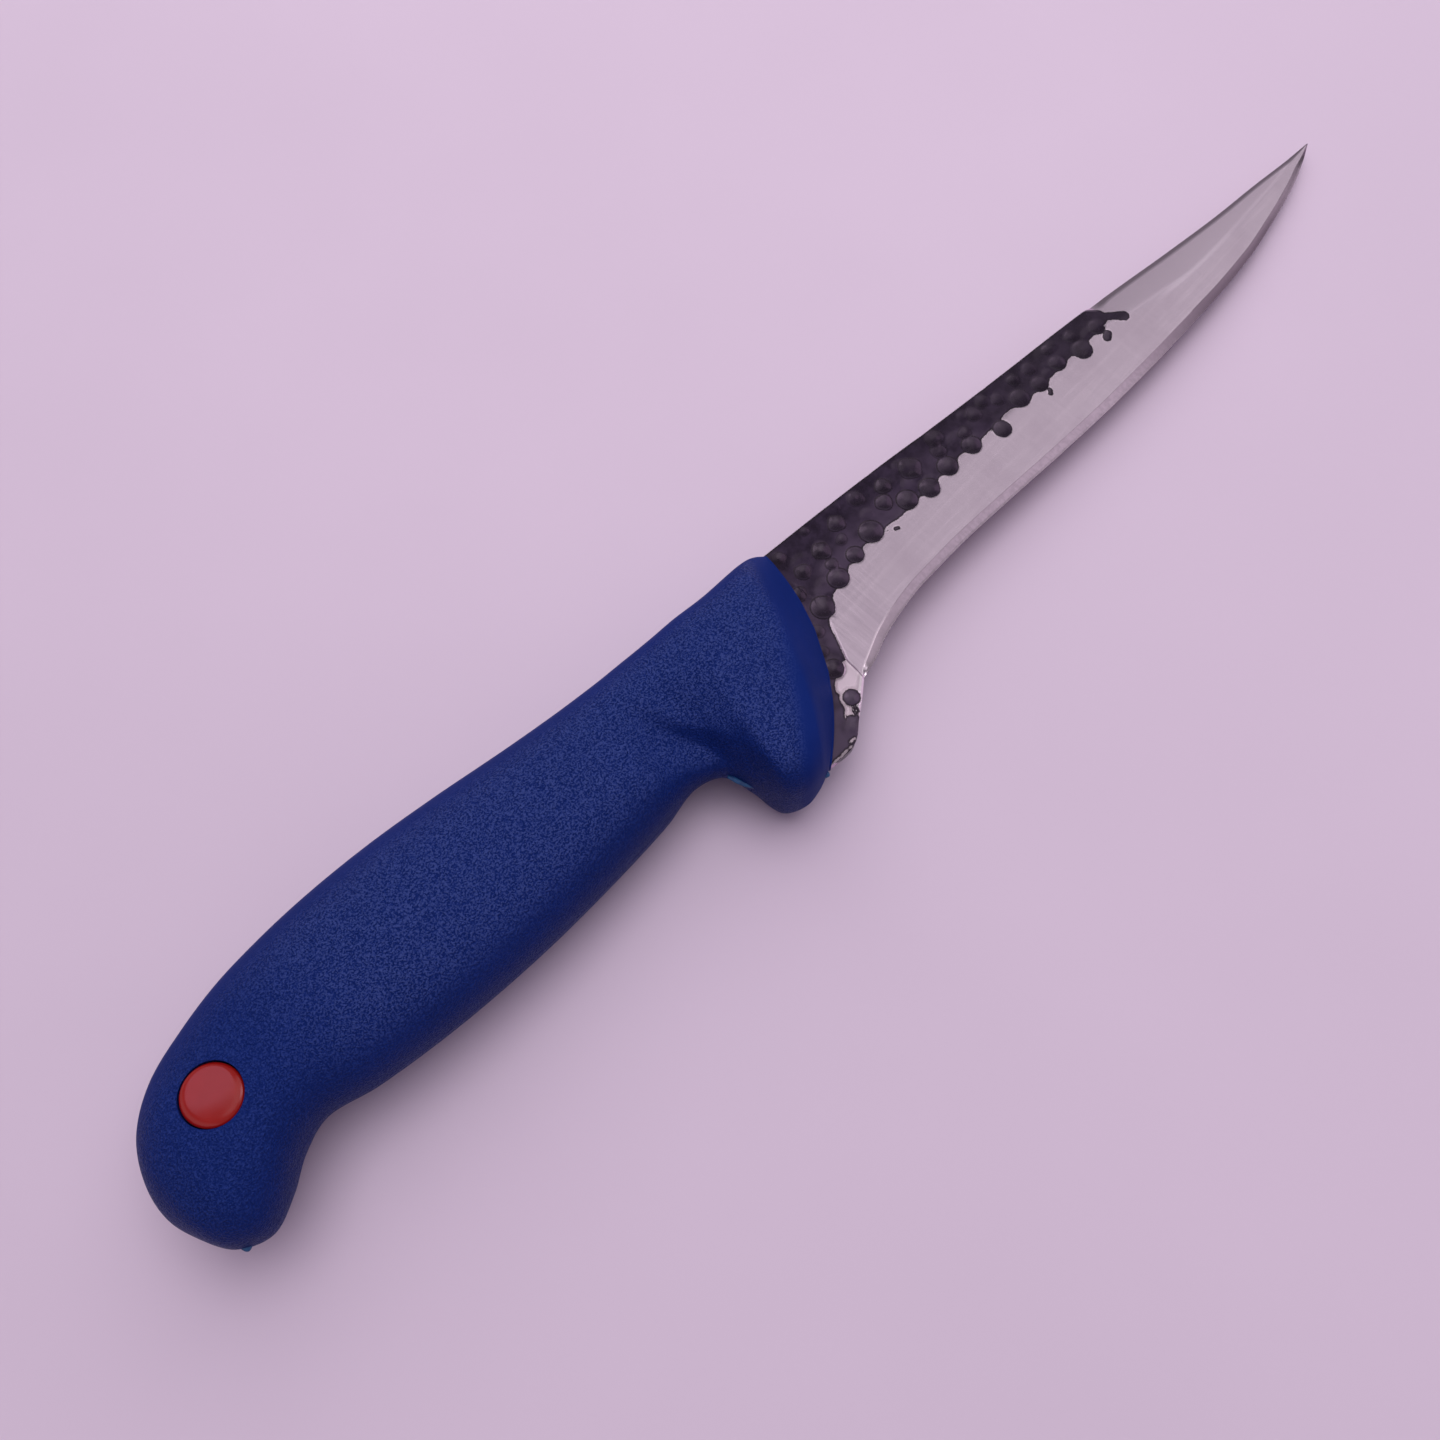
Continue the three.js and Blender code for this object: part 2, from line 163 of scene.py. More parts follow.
# Width of the edge bevel along x, and of the chamfer on the spine, which widens to a swedge
BEVEL_WIDTH = [(0, 0.3), (1.3, 0.93), (3.1, 1.35), (5, 1.57), (12, 1.7), (90, 1.7), (120, 1.3), (150, 1)]
SPINE_CHAMFER = [(0, 0.25), (85.5, 0.25), (88, 1.9), (92, 1.5), (110, 1.35), (150, 0.9)]

# Lower limit of the black scale as (x, y), from the plunge line at the heel to the scale's end
SCALE_LINE = [
    (-0.7, -4), (-0.45, -2), (-0.2, 0), (0, 2.1), (0.5, 3.1), (1.1, 4.3), (2, 6.1), (3.5, 8.9), (5, 10.5),
    (9, 12.2), (13.9, 13.4), (19.1, 14.2), (24.9, 13.7), (28.4, 13.1), (32.9, 13.3), (38.9, 13.1),
    (44.8, 13.2), (51.1, 12.5), (57.5, 12.65), (64, 11.4), (69, 11.25), (74.8, 11.35), (81.1, 11.05),
    (86.3, 11.15), (92, 10.6),
]
SCALE_END_X = 85.5
SCALE_END = (85.6, 13.4, 2.4)
SCALE_HOOK = [((87.5, 12), (88.9, 10.75), 0.93), ((89.5, 10.1), (90, 9.6), 1.1)]
# Hammer dents as (x, y, radius): those that hang below the scale's line, and those inside it
LOBES = [
    (-2.6, 2.8, 1.85), (5.05, 11.7, 2.2), (11.2, 13.4, 2), (16.7, 14.2, 1.65), (22.1, 15.1, 2.25),
    (31.4, 14.5, 2), (36, 13.1, 1.98), (41.7, 13.5, 2), (48.1, 13.1, 1.9), (54.6, 11.1, 1.78),
    (61.9, 12.8, 2), (66.9, 12, 1.7), (72.8, 12.4, 1.7), (78.4, 10.8, 2.05), (84.3, 11.9, 1.7),
]
DENTS = [
    (8, 18.8, 1.5), (13.3, 19, 1.7), (19.2, 20.7, 1.6), (14.2, 23.8, 0.9), (7.3, 23.6, 1.2),
    (4.2, 16.4, 1.4), (25.4, 21.3, 1.6), (28.2, 17.2, 1.6), (30.6, 19.5, 1.5), (36.8, 18.3, 2.2),
    (44.6, 19, 1.8), (43, 16.6, 1.5), (49.3, 15.6, 1.3), (53.4, 17, 1.6), (56.7, 17.5, 1.5),
    (58.9, 15.6, 1.4), (64.3, 16.2, 1.3), (68.1, 15.4, 1.5), (73.9, 15.5, 1.3), (79.2, 14.1, 1.4),
    (0.9, 9.5, 1.3), (-1.6, 6.3, 1.2), (12.6, 16, 1.1), (17.4, 17.9, 1.1),
]
# Dents that stay black in the bare steel, as (end, end, radius)
DROPS = [
    ((25.5, 12.3), (25.9, 12.1), 0.4), ((66.7, 9.3), (67.2, 9.8), 0.5), ((83.8, 9), (84.6, 9.45), 0.85),
    ((23.9, 13.2), (24.3, 13.15), 0.16),
    ((-4.6, -2.8), (-4.6, -2.8), 1.6), ((-7.9, -5.9), (-8.3, -6.2), 1.4),
    ((-10.3, -8.4), (-10.2, -8.4), 0.35),
]
# Bare steel inside the scale by the heel, as (end, end, radius), and a painted highlight along the heel's
# edge beside it
BARE = [
    ((-1, 0.6), (-3.6, -0.9), 2), ((-4.6, -2.8), (-4.6, -2.8), 2), ((-6.2, -3.4), (-7.2, -4.3), 0.6),
    ((0, -2), (-5.4, -5.6), 0.9), ((-6.4, -4.9), (-7.4, -4.5), 0.4), ((-7.4, -4.4), (-8, -4.5), 0.25),
    ((-11.3, -8.45), (-16.4, -8.1), 0.13), ((-10.9, -7.85), (-9.9, -8), 0.2),
]
HEEL_EDGE_HIGHLIGHT = ((-0.3, -2.1), (-5.4, -5.5), 0.75)
# A small dark ring in the bare steel as (x, y, radius, half width)
HEEL_RING = (-5.96, -4.85, 0.5, 0.2)
# A painted highlight, a streak where the two grinds of the tip meet, as (x, y)
CREST = [(90.5, 9.7), (93.7, 9.1), (101.7, 7.1), (108.7, 6.1), (122.4, 6.1)]
CREST_WIDTH = 0.75
# Where along x each finish of the steel, and each highlight, sheen or shade painted on it, begins or ends
BEVEL_START = (0.5, 1.6)
BEVEL_LINES_START = (0, 0.5)
DARK_LINE_START = (9, 16)
GLINT_END = (7, 16)
HEEL_BEVEL_END = (6, 22)
TIP_BEVEL_START, TIP_BEVEL_END, TIP_BEVEL_LOSS = (72, 108), (124, 144), 0.6
TIP_GRIND_START = (84, 86)
SWEDGE_START = (86, 90)
CREST_START, CREST_END = (89.5, 92), (112, 124)
CROSS_LINES_END, CROSS_LINES_LEAST = (6, 18), 0.2
HEEL_STEEL_END = (-0.2, 0.1)
# How softly the painted sheen of the tip's upper grind, the painted shade of the swedge and the painted
# highlight along the heel's edge come in across the blade
TIP_CREASE_RISE = (-0.4, 0.4)
SWEDGE_RISE = (0.1, 0.5)
HEEL_HIGHLIGHT_RISE = (-0.4, 0.1)
# Depths of dents as shares of the radius, which ease towards the tip over x by a share
LOBE_DEPTH = 0.17
DENT_DEPTH = 0.15
DROP_DEPTH = 0.12
DENT_POWER = 2.2
DENT_SPREAD = (0.6, 1.25)
DENT_EASE = (30, 65, 0.3)
# The inner dents are uneven: how far their places shift, and the waves of that shift along x and y
DENT_WARP = 0.12
WARP_X, WARP_Y = (0.7, 1.9), (2.1, -0.8)
# Painted shade on the dents' rims and along the spine, which fades towards the tip over x down to a share,
# and a gap wider than any
RIM_HALF = (0.04, 0.24)
RIM_FAR = 9
SPINE_RIM = 0.35
DENT_FADE = (35, 72, 0.55)
# Painted highlights that pale the scale in the dents: their spread from dent to dent, where they fade along x
# (as does the painted sheen between the dents) and by how much, and their shift from a dent's middle
DENT_HIGHLIGHT_SPREAD = (0, 0.9)
SHEEN_FADE, DENT_HIGHLIGHT_LOSS = (8, 90), 0.75
DENT_HIGHLIGHT_SHIFT = (0.26, 0.34)
DENT_HIGHLIGHT_RISE = (0.45, 0.85)
DROP_HIGHLIGHT_SHARE, DROP_HIGHLIGHT_RISE = 0.4, (0.2, 0.8)
# Painted sheen between the dents: how deep into the scale it reaches, and how much of it fades along x
GROUND_SHEEN_DEPTH, GROUND_SHEEN_LOSS = (1.5, 8), 0.7
# Side of a dent where its painted shade is darkest, and where that shade begins, is full and ends, as shares
# of the radius
SHADE_SIDE = (-0.61, -0.79)
SHADE_RISE = (-0.2, 0.75)
SHADE_LIMIT = (0.7, 1.08)
SHADE_LEAST, SHADE_MOST = 0.45, 0.85
LOBE_JOIN = 0.9
RIPPLES = 110
RIPPLE_RADIUS = (1.1, 2.6)
RIPPLE_DEPTH = 0.09
RIPPLE_RISE = (0, 1.2)

# Ribs across the handle, pommel to lip: (back x, y), (belly x, y), half thickness as a share of the zone's,
# power of its rounding, then unless plain: its flat crown's half width as a share, forward bow, finger scoop
PLAIN_RIB = (0.03, 0, 0)
POMMEL_RIBS = [
    ((0, 18.2), (0, 18.2), 0, 2.2),
    ((1.4, 24.4), (1.2, 12.7), 0.47, 2.2),
    ((5.2, 30.4), (4, 7.4), 0.83, 2.3),
    ((11.8, 34.8), (8.6, 5.3), 1, 2.4),
    ((19.8, 37.2), (13.9, 7.2), 1, 2.4),
    ((27.8, 38.6), (19.1, 10.4), 1, 2.4),
    ((36.4, 39.09), (24.7, 12), 1.03, 2.3),
]
GRIP_RIBS = [
    ((0.175, 38.9), (-0.053, 9.6), 0.98, 2.3),
    ((0.386, 37.8), (0.193, 7.1), 1, 2.3),
    ((0.596, 35.9), (0.474, 5.5), 0.99, 2.3),
    ((0.807, 33.6), (0.754, 5), 0.95, 2.3),
]
NECK_RIBS = [
    ((-41, 31.6), (-41.5, 5.3), 1.02, 2.4),
    ((-33, 30.4), (-33.2, 6), 1, 2.5, 0.03, 0, 0.14),
    ((-26.5, 29.6), (-28.7, 3.7), 1, 2.7, 0.06, 0, 0.3),
    ((-20.5, 28.8), (-27.1, -2.2), 1.05, 3, 0.1, 0, 0.2),
]
GUARD_RIBS = [
    ((-14.5, 28.1), (-25.7, -7.2), 1, 3.2, 0.15, 0.6, 0),
    ((-8.5, 27.4), (-22.4, -9), 1, 3.2, 0.15, 1.5, 0),
    ((-1.5, 27.3), (-19.6, -8.9), 0.93, 3.2, 0.12, 2.5, 0),
    ((3.1, 27.2), (-17.8, -8.5), 0.56, 3.6, 0.1, 3.6, 0),
]
LIP_RIBS = [((5.7, 26.1), (-16.6, -8.1), 1, 5, 0.1, 4.6, 0)]
# Rear limit of the smooth front facet as (y, x)
FACET_LINE = [
    (-9, -24), (-6.5, -22), (-1.7, -17.7), (4.5, -12.5), (10.5, -6.9), (18.8, -2.2), (25, 1.5), (28, 3),
]
FACET_FADE = 5
# How far the skin may turn to the back before its grain is gone
BACK_SMOOTH = (0.35, 0.8)
# Ridge of the guard as (y, x), and the finger groove behind it: where its wall and its far side lie
RIDGE = [
    (-9, -26.2), (-2.5, -25.5), (0.9, -25.2), (5.3, -25.7), (10.2, -27.5), (14.7, -29.7), (19.2, -31.1),
    (26, -33),
]
GROOVE_WALL = (-0.7, 2.4)
GROOVE_FAR = (4, 15)
GROOVE_TOP = (9, 25)
GROOVE_DEPTH = 2.3

# Flash on the mould's seam: three points along it, its direction out, how far it stands out, half thickness
FLASH = {
    "flash_notch": ((-28.9, 3.4), (-27.9, 1), (-27.2, -1.4), (-0.97, -0.25), 0.5, 0.35),
    "flash_pommel": ((-130.2, 7.3), (-129.3, 6.6), (-128.4, 6.2), (-0.45, -0.9), 0.75, 0.4),
    "flash_guard": ((-18, -8.75), (-17.4, -8.6), (-16.9, -8.3), (0.35, -0.93), 0.35, 0.5),
}
FLASH_SINK, FLASH_THIN = 0.1, 0.25
FLASH_STEPS = 16
# How level the skin must lie for the painted sheen on the crown, where that sheen fades on the pommel, and
# how much less of it the pommel gets
SHEEN_RISE = (0.6, 0.98)
POMMEL_START = (-8, 14)
POMMEL_SHEEN_LOSS = 0.75

# Bumps of the materials as (strength, distance in metres)
LINES_BUMP = (0.06, 0.00003)
PITS_BUMP = (0.12, 0.00004)
GRAIN_BUMP = (1, 0.0004)
PLUG_BUMP = (0.04, 0.0002)
NOISE_ROUGHNESS = 0.55
CLOUD_RANGE = (0.3, 0.7)
# Colours of the bare steel
STEEL_DARK, STEEL_PALE = (0.47, 0.4, 0.46), (0.55, 0.475, 0.535)
STREAK_STEEL = (0.6, 0.52, 0.58)
PATCH_STEEL = (0.42, 0.35, 0.41)
# The tip's upper grind, painted paler as a painted sheen
UPPER_TIP_SHEEN_STEEL = (0.7, 0.6, 0.68)
# The swedge, painted darker as painted shade
SWEDGE_SHADE_STEEL = (0.3, 0.25, 0.29)
# A painted highlight where the tip's grinds meet
CREST_HIGHLIGHT_STEEL = (0.75, 0.67, 0.74)
# The bevel and the heel's bevel, painted darker as painted shade that offsets the bright glow they mirror
BEVEL_SHADE_STEEL = (0.167, 0.14, 0.162)
HEEL_BEVEL_SHADE_STEEL = (0.142, 0.12, 0.137)
# The bevel towards the tip, painted dark as painted shade
TIP_BEVEL_SHADE_STEEL = (0.06, 0.046, 0.058)
# A dark line painted along the bevel's upper crease as painted shade
BEVEL_LINE_SHADE_STEEL = (0.2, 0.16, 0.19)
# A glint painted along the bevel's upper crease by the heel
PAINTED_GLINT_STEEL = (0.74, 0.65, 0.7)
HALO_STEEL = (0.66, 0.57, 0.63)
# Bare steel of the heel, painted paler than the rest of the steel as a painted reflection
HEEL_SHEEN_STEEL = (0.92, 0.79, 0.86)
SOOTY_STEEL = (0.17, 0.13, 0.15)
# A highlight painted along the heel's edge
HEEL_HIGHLIGHT_STEEL = (0.92, 0.84, 0.88)
# Colours of the black scale
SCALE_DARK, SCALE_PALE = (0.01, 0.006, 0.014), (0.028, 0.018, 0.037)
# Sheen painted on the scale between the dents
GROUND_SHEEN_SCALE = (0.052, 0.035, 0.062)
# Highlights painted on the dents' floors
DENT_HIGHLIGHT_SCALE = (0.11, 0.086, 0.115)
# Painted shade on the dents' rims, in the dents and along the spine, also the scale's darkest tone along its
# limit and towards the tip
SCALE_SHADE_AND_DARKEST = (0.003, 0.0015, 0.004)
SCALE_TINT = (1, 0.84, 1)
# Colours of the plastics
BLUE_DARK, BLUE_PALE = (0.0033, 0.0148, 0.118), (0.0043, 0.0168, 0.132)
GRAIN_DARK, GRAIN_PALE = (0.003, 0.011, 0.085), (0.01, 0.03, 0.19)
# A paler blue painted on the crown as a painted sheen
SHEEN_BLUE = (0.034, 0.054, 0.212)
RED_DARK, RED_PALE = (0.262, 0.006, 0.004), (0.3, 0.008, 0.006)
CYAN_DARK, CYAN_PALE = (0.006, 0.035, 0.13), (0.015, 0.08, 0.2)

# Camera as the photograph has it, in the outlines' frame, and the studio
PHOTO_SIZE = 1440
FOCAL_PIXELS = 1448
CAMERA_PLACE = (-91.9, -51.8, 222.7)
CAMERA_TILT = 22.9
CAMERA_HEADING = 42
SENSOR_WIDTH = 36
CLIP_START = 10
FLOOR_SIZE = 40000
FLOOR_SLOPE = 3
FLOOR_CLOUDS = 0.97
FLOOR_COLOUR = (0.66, 0.53, 0.66)
ROOM_LEVEL = (0.27, 0.232, 0.29)
BACKDROP = (0.435, 0.333, 0.446)
# What shiny surfaces see: a dim room with a pale horizon, a pale wall towards the tip that glows on the
# edge's side, a duller wall towards the pommel, and bright spots as (axis, rise, colour): a window high on
# the spine's side, a pale ceiling straight above and a small lamp
ROOM_DARK = (0.24, 0.22, 0.25)
HORIZON = (0.32, 0.6)
HORIZON_COLOUR = (0.46, 0.43, 0.47)
WALL_ACROSS, WALL_SPREAD = (-0.009, 0.984, -0.18), (0, 0.11)
WALL_ALONG, WALL_START = (1, 0, 0), (0.13, 0.47)
WALL_COLOUR = (0.82, 0.76, 0.82)
REAR_START = (-0.55, -0.35)
REAR_COLOUR = (0.62, 0.56, 0.62)
GLOW_RISE, GLOW_FALL = (-0.3, -0.17), (-0.52, -0.44)
GLOW_COLOUR = (2.6, 2.3, 2.6)
WINDOW = ((0, 0.537, 0.8436), (0.94, 0.955), (1.3, 1, 1.35))
CEILING = ((0.1, 0, 0.995), (0.94, 0.985), (0.9, 0.82, 0.9))
LAMP = ((0.62, -0.52, 0.588), (0.992, 0.997), (8, 7.5, 8))
# Lamps, with their places and sizes in metres
SUN_PLACE = (0.06, -0.02, 1)
SUN_ANGLE = 50
SUN_POWER = 1.1
KEY_PLACE = (0.17, 0.18, 0.45)
KEY_SIZE = (0.7, 0.8)
KEY_POWER = 1.9

plug_low, plug_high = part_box("plug_near")
PLUG_PLACE = np.array([HANDLE_END + PLUG_FROM_END, PLUG_Y])
SHIFT = np.array([
    (plug_low.x + plug_high.x) / 2 / MM - PLUG_PLACE[0],
    (plug_low.y + plug_high.y) / 2 / MM - PLUG_PLACE[1],
    (CAD_BOX[0].z + CAD_BOX[1].z) / 2 / MM,
])


def place(points):
    """Points of the outlines' frame in the part's frame, in metres."""
    return (np.asarray(points, float) + SHIFT) * MM


def outline_points(mesh):
    """Vertices of a mesh back in the outlines' frame, in millimetres."""
    points = np.empty(len(mesh.vertices) * 3)
    mesh.vertices.foreach_get("co", points)
    return points.reshape(-1, 3) / MM - SHIFT


def smoothstep(values, low, high):
    t = np.clip((values - low) / (high - low), 0, 1)
    return t * t * (3 - 2 * t)


def smooth_most(a, b, width):
    """The larger of two fields, rounded over where they cross."""
    mix = np.clip(0.5 + (a - b) / (2 * width), 0, 1)
    return b + (a - b) * mix + width * mix * (1 - mix)


def hermite(u, start, end, lead, trail):
    """A cubic from start to end with the slopes given there."""
    step = end - start
    return start + u * (lead + u * (3 * step - 2 * lead - trail + u * (lead + trail - 2 * step)))


def through(points):
    """A curve y(x) through points that never overshoots between them."""
    xs, ys = np.array(points, float).T
    slopes = np.diff(ys) / np.diff(xs)
    before, after = np.r_[slopes[0], slopes], np.r_[slopes, slopes[-1]]
    alike = before * after > 0
    tangents = np.zeros_like(ys)
    tangents[alike] = 2 * before[alike] * after[alike] / (before + after)[alike]

    def curve(x):
        i = np.clip(np.searchsorted(xs, x, side="right") - 1, 0, len(xs) - 2)
        span = xs[i + 1] - xs[i]
        u = (x - xs[i]) / span
        lead, trail = tangents[i] * span, tangents[i + 1] * span
        inside = hermite(u, ys[i], ys[i + 1], lead, trail)
        past = ys[i + 1] + trail * (u - 1)
        return np.where(u < 0, ys[i] + lead * u, np.where(u > 1, past, inside))

    return curve


def centripetal(points):
    """A smooth curve through points in order; its parameter counts the points."""
    points = np.array(points, float)
    padded = np.vstack([2 * points[0] - points[1], points, 2 * points[-1] - points[-2]])

    def curve(t):
        i = np.minimum(np.floor(t).astype(int), len(points) - 2)
        u = (t - i)[:, None]
        p0, p1, p2, p3 = (padded[i + k] for k in range(4))
        gaps = [np.linalg.norm(b - a, axis=1) for a, b in ((p0, p1), (p1, p2), (p2, p3))]
        d0, d1, d2 = (np.sqrt(gap)[:, None] for gap in gaps)
        lead = ((p1 - p0) / d0 - (p2 - p0) / (d0 + d1) + (p2 - p1) / d1) * d1
        trail = ((p2 - p1) / d1 - (p3 - p1) / (d1 + d2) + (p3 - p2) / d2) * d1
        return hermite(u, p1, p2, lead, trail)

    return curve


def distance_to(x, y, start, end):
    """Distance to the straight line between two points."""
    (ax, ay), (bx, by) = start, end
    along = ((x - ax) * (bx - ax) + (y - ay) * (by - ay)) / max((bx - ax) ** 2 + (by - ay) ** 2, TINY)
    along = np.clip(along, 0, 1)
    return np.hypot(x - ax - along * (bx - ax), y - ay - along * (by - ay))


# Mesh helpers
def grid_index(grid):
    """Point numbers of a grid."""
    return np.arange(grid.shape[0] * grid.shape[1]).reshape(grid.shape[:2])


def grid_faces(index):
    ring = [index[:-1, :-1], index[1:, :-1], index[1:, 1:], index[:-1, 1:]]
    return np.stack([corner.ravel() for corner in ring], axis=1)


def strip_faces(one, other):
    """Faces between two lines of vertices."""
    return np.stack([one[:-1], other[:-1], other[1:], one[1:]], axis=1)


def tube_faces(rows):
    """Faces of a closed tube whose rows have four corners each."""
    index = np.arange(rows * 4).reshape(-1, 4)
    sides = [face for k in range(4) for face in strip_faces(index[:, k], index[:, (k + 1) % 4])]
    return [*sides, index[0], index[-1]]


def new_object(name, data):
    thing = bpy.data.objects.new(name, data)
    bpy.context.scene.collection.objects.link(thing)
    return thing


def new_piece(name, points, faces, merge=0.0):
    """A mesh object with its faces pointing out."""
    mesh = bpy.data.meshes.new(name)
    mesh.from_pydata(place(points).tolist(), [], [list(map(int, face)) for face in faces])
    work = bmesh.new()
    work.from_mesh(mesh)
    if merge:
        bmesh.ops.remove_doubles(work, verts=work.verts, dist=merge * MM)
    bmesh.ops.recalc_face_normals(work, faces=work.faces)
    work.to_mesh(mesh)
    work.free()
    mesh.shade_smooth()
    return new_object(name, mesh)


def mirrored_piece(name, near, rims, merge=0.0):
    """A piece from the grid of its near side and the mirror image of that, closed along the rims."""
    faces = grid_faces(grid_index(near))
    points = near.reshape(-1, 3)
    count = len(points)
    closing = [strip_faces(rim, rim + count) for rim in rims]
    faces = np.vstack([faces, faces[:, ::-1] + count, *closing])
    return new_piece(name, np.vstack([points, points * (1, 1, -1)]), faces, merge)


def cut_away(piece, cutter):
    """Takes a closed cutter out of a closed piece, and removes the cutter."""
    cut = piece.modifiers.new("cut", "BOOLEAN")
    cut.operation = "DIFFERENCE"
    cut.solver = "EXACT"
    cut.object = cutter
    with bpy.context.temp_override(object=piece, active_object=piece, selected_objects=[piece]):
        bpy.ops.object.modifier_apply(modifier=cut.name)
    bpy.data.objects.remove(cutter)


def lathe(name, profile, centre, side=1):
    """A closed round solid about the thickness direction; the profile is (radius, z), from axis to axis."""
    turns = np.linspace(0, 2 * math.pi, ROUND_SEGMENTS, endpoint=False)
    circle = [(math.cos(turn), math.sin(turn)) for turn in turns]
    rings = profile[1:-1]
    points = [(centre[0], centre[1], side * profile[0][1])]
    for radius, z in rings:
        points += [(centre[0] + radius * x, centre[1] + radius * y, side * z) for x, y in circle]
    points.append((centre[0], centre[1], side * profile[-1][1]))
    around = np.r_[np.arange(ROUND_SEGMENTS), 0]
    loops = [1 + i * ROUND_SEGMENTS + around for i in range(len(rings))]
    faces = [face for one, other in zip(loops, loops[1:]) for face in strip_faces(one, other)]
    for middle, loop in ((0, loops[0]), (len(points) - 1, loops[-1][::-1])):
        faces += [(middle, one, other) for one, other in zip(loop, loop[1:])]
    return new_piece(name, points, faces)


def set_values(mesh, values):
    """Keeps a number per vertex under each name, for the materials."""
    for name, numbers in values.items():
        attribute = mesh.attributes.new(name, "FLOAT", "POINT")
        attribute.data.foreach_set("value", np.asarray(numbers, np.float32))


def finish_piece(piece, node, material):
    piece.data.materials.append(material)
    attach(piece, "root")
    if node:
        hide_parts(node)
    return piece


# Blade
spine_y = through([(share * BLADE_LENGTH, y) for share, y in SPINE])
edge_y = through([(share * BLADE_LENGTH, y) for share, y in EDGE])
heel_y = through(HEEL)
level_at = through(TAPER)
scale_line = through(SCALE_LINE)


def ripple_places():
    """Wide shallow hollows all over the scale, so that no stretch of it is flat."""
    rng = np.random.default_rng(SEED)
    xs = rng.uniform(CHOIL_SHOULDER_X, SCALE_END_X, RIPPLES)
    lows = heel_y(np.minimum(xs, 0))
    ys = lows + rng.uniform(0, 1, RIPPLES) * (spine_y(xs) - lows)
    return list(zip(xs, ys, rng.uniform(*RIPPLE_RADIUS, RIPPLES)))


def scale_field(x, y):
    """Millimetres into the black scale, below zero on bare steel."""
    step = 0.01
    steepness = (scale_line(x + step) - scale_line(x - step)) / (2 * step)
    field = (y - scale_line(x)) / np.hypot(1, steepness)
    for cx, cy, radius in LOBES:
        field = smooth_most(field, radius - np.hypot(x - cx, y - cy), LOBE_JOIN)
    cx, cy, radius = SCALE_END
    field = np.minimum(field, np.maximum(SCALE_END_X - x, radius - np.hypot(x - cx, y - cy)))
    for start, end, radius in SCALE_HOOK:
        field = smooth_most(field, radius - distance_to(x, y, start, end), LOBE_JOIN / 2)
    for start, end, radius in BARE:
        field = np.minimum(field, distance_to(x, y, start, end) - radius)
    cx, cy, radius = LOBES[0]
    field = np.maximum(field, radius - np.hypot(x - cx, y - cy))
    for start, end, radius in DROPS:
        field = np.maximum(field, radius - distance_to(x, y, start, end))
    cx, cy, radius, width = HEEL_RING
    return np.maximum(field, width - np.abs(np.hypot(x - cx, y - cy) - radius))


def eased(x):
    """Share of a dent's depth that is left towards the tip."""
    start, end, loss = DENT_EASE
    return 1 - loss * smoothstep(x, start, end)


def faded(x):
    """Share of a rim's painted shade that is left towards the tip."""
    start, end, least = DENT_FADE
    return 1 - (1 - least) * smoothstep(x, start, end)


def dent_cups(x, y):
    """Each hammer dent as the distance from its middle, its radius, its depth and how dark the painted shade
    on its rim is.
    """
    rng = np.random.default_rng(SEED)
    cups = [(distance_to(x, y, start, end), radius, DROP_DEPTH, 0) for start, end, radius in DROPS]
    for cx, cy, radius in LOBES:
        cups.append((np.hypot(x - cx, y - cy), radius, LOBE_DEPTH * eased(cx), faded(cx)))
    uneven_x = x + DENT_WARP * np.sin(WARP_X[0] * x + WARP_X[1] * y)
    uneven_y = y + DENT_WARP * np.sin(WARP_Y[0] * x + WARP_Y[1] * y)
    for cx, cy, radius in DENTS:
        strength = rng.uniform(*DENT_SPREAD)
        dark = strength / DENT_SPREAD[1] * faded(cx)
        cups.append((np.hypot(uneven_x - cx, uneven_y - cy), radius, DENT_DEPTH * strength * eased(cx), dark))
    return cups


def dent_depth(x, y):
    deep = np.zeros_like(x)
    for away, radius, depth, _ in dent_cups(x, y):
        deep = np.maximum(deep, depth * radius * np.maximum(1 - (away / radius) ** DENT_POWER, 0))
    return deep


def dent_floor(x, y):
    """Painted highlight on a dent's floor, most on the side towards the spine and the tip."""
    rng = np.random.default_rng(SEED)
    floor = np.zeros_like(x)
    for cx, cy, radius in LOBES + DENTS:
        painted_sheen = rng.uniform(*DENT_HIGHLIGHT_SPREAD) * (1 - DENT_HIGHLIGHT_LOSS * smoothstep(cx, *SHEEN_FADE))
        away = np.hypot(x - cx - DENT_HIGHLIGHT_SHIFT[0] * radius, y - cy - DENT_HIGHLIGHT_SHIFT[1] * radius)
        floor = np.maximum(floor, painted_sheen * smoothstep(1 - away / radius, *DENT_HIGHLIGHT_RISE))
    for start, end, radius in DROPS:
        inward = 1 - distance_to(x, y, start, end) / radius
        floor = np.maximum(floor, DROP_HIGHLIGHT_SHARE * smoothstep(inward, *DROP_HIGHLIGHT_RISE))
    return floor


def painted_dent_shade(x, y):
    """Painted shade in a dent, darkest on the side towards the edge and the pommel."""
    shade = np.zeros_like(x)
    for cx, cy, radius in LOBES + DENTS:
        beside = ((x - cx) * SHADE_SIDE[0] + (y - cy) * SHADE_SIDE[1]) / radius
        inside = 1 - smoothstep(np.hypot(x - cx, y - cy) / radius, *SHADE_LIMIT)
        dark = SHADE_LEAST + (SHADE_MOST - SHADE_LEAST) * smoothstep(beside, *SHADE_RISE)
        shade = np.maximum(shade, inside * dark)
    return shade


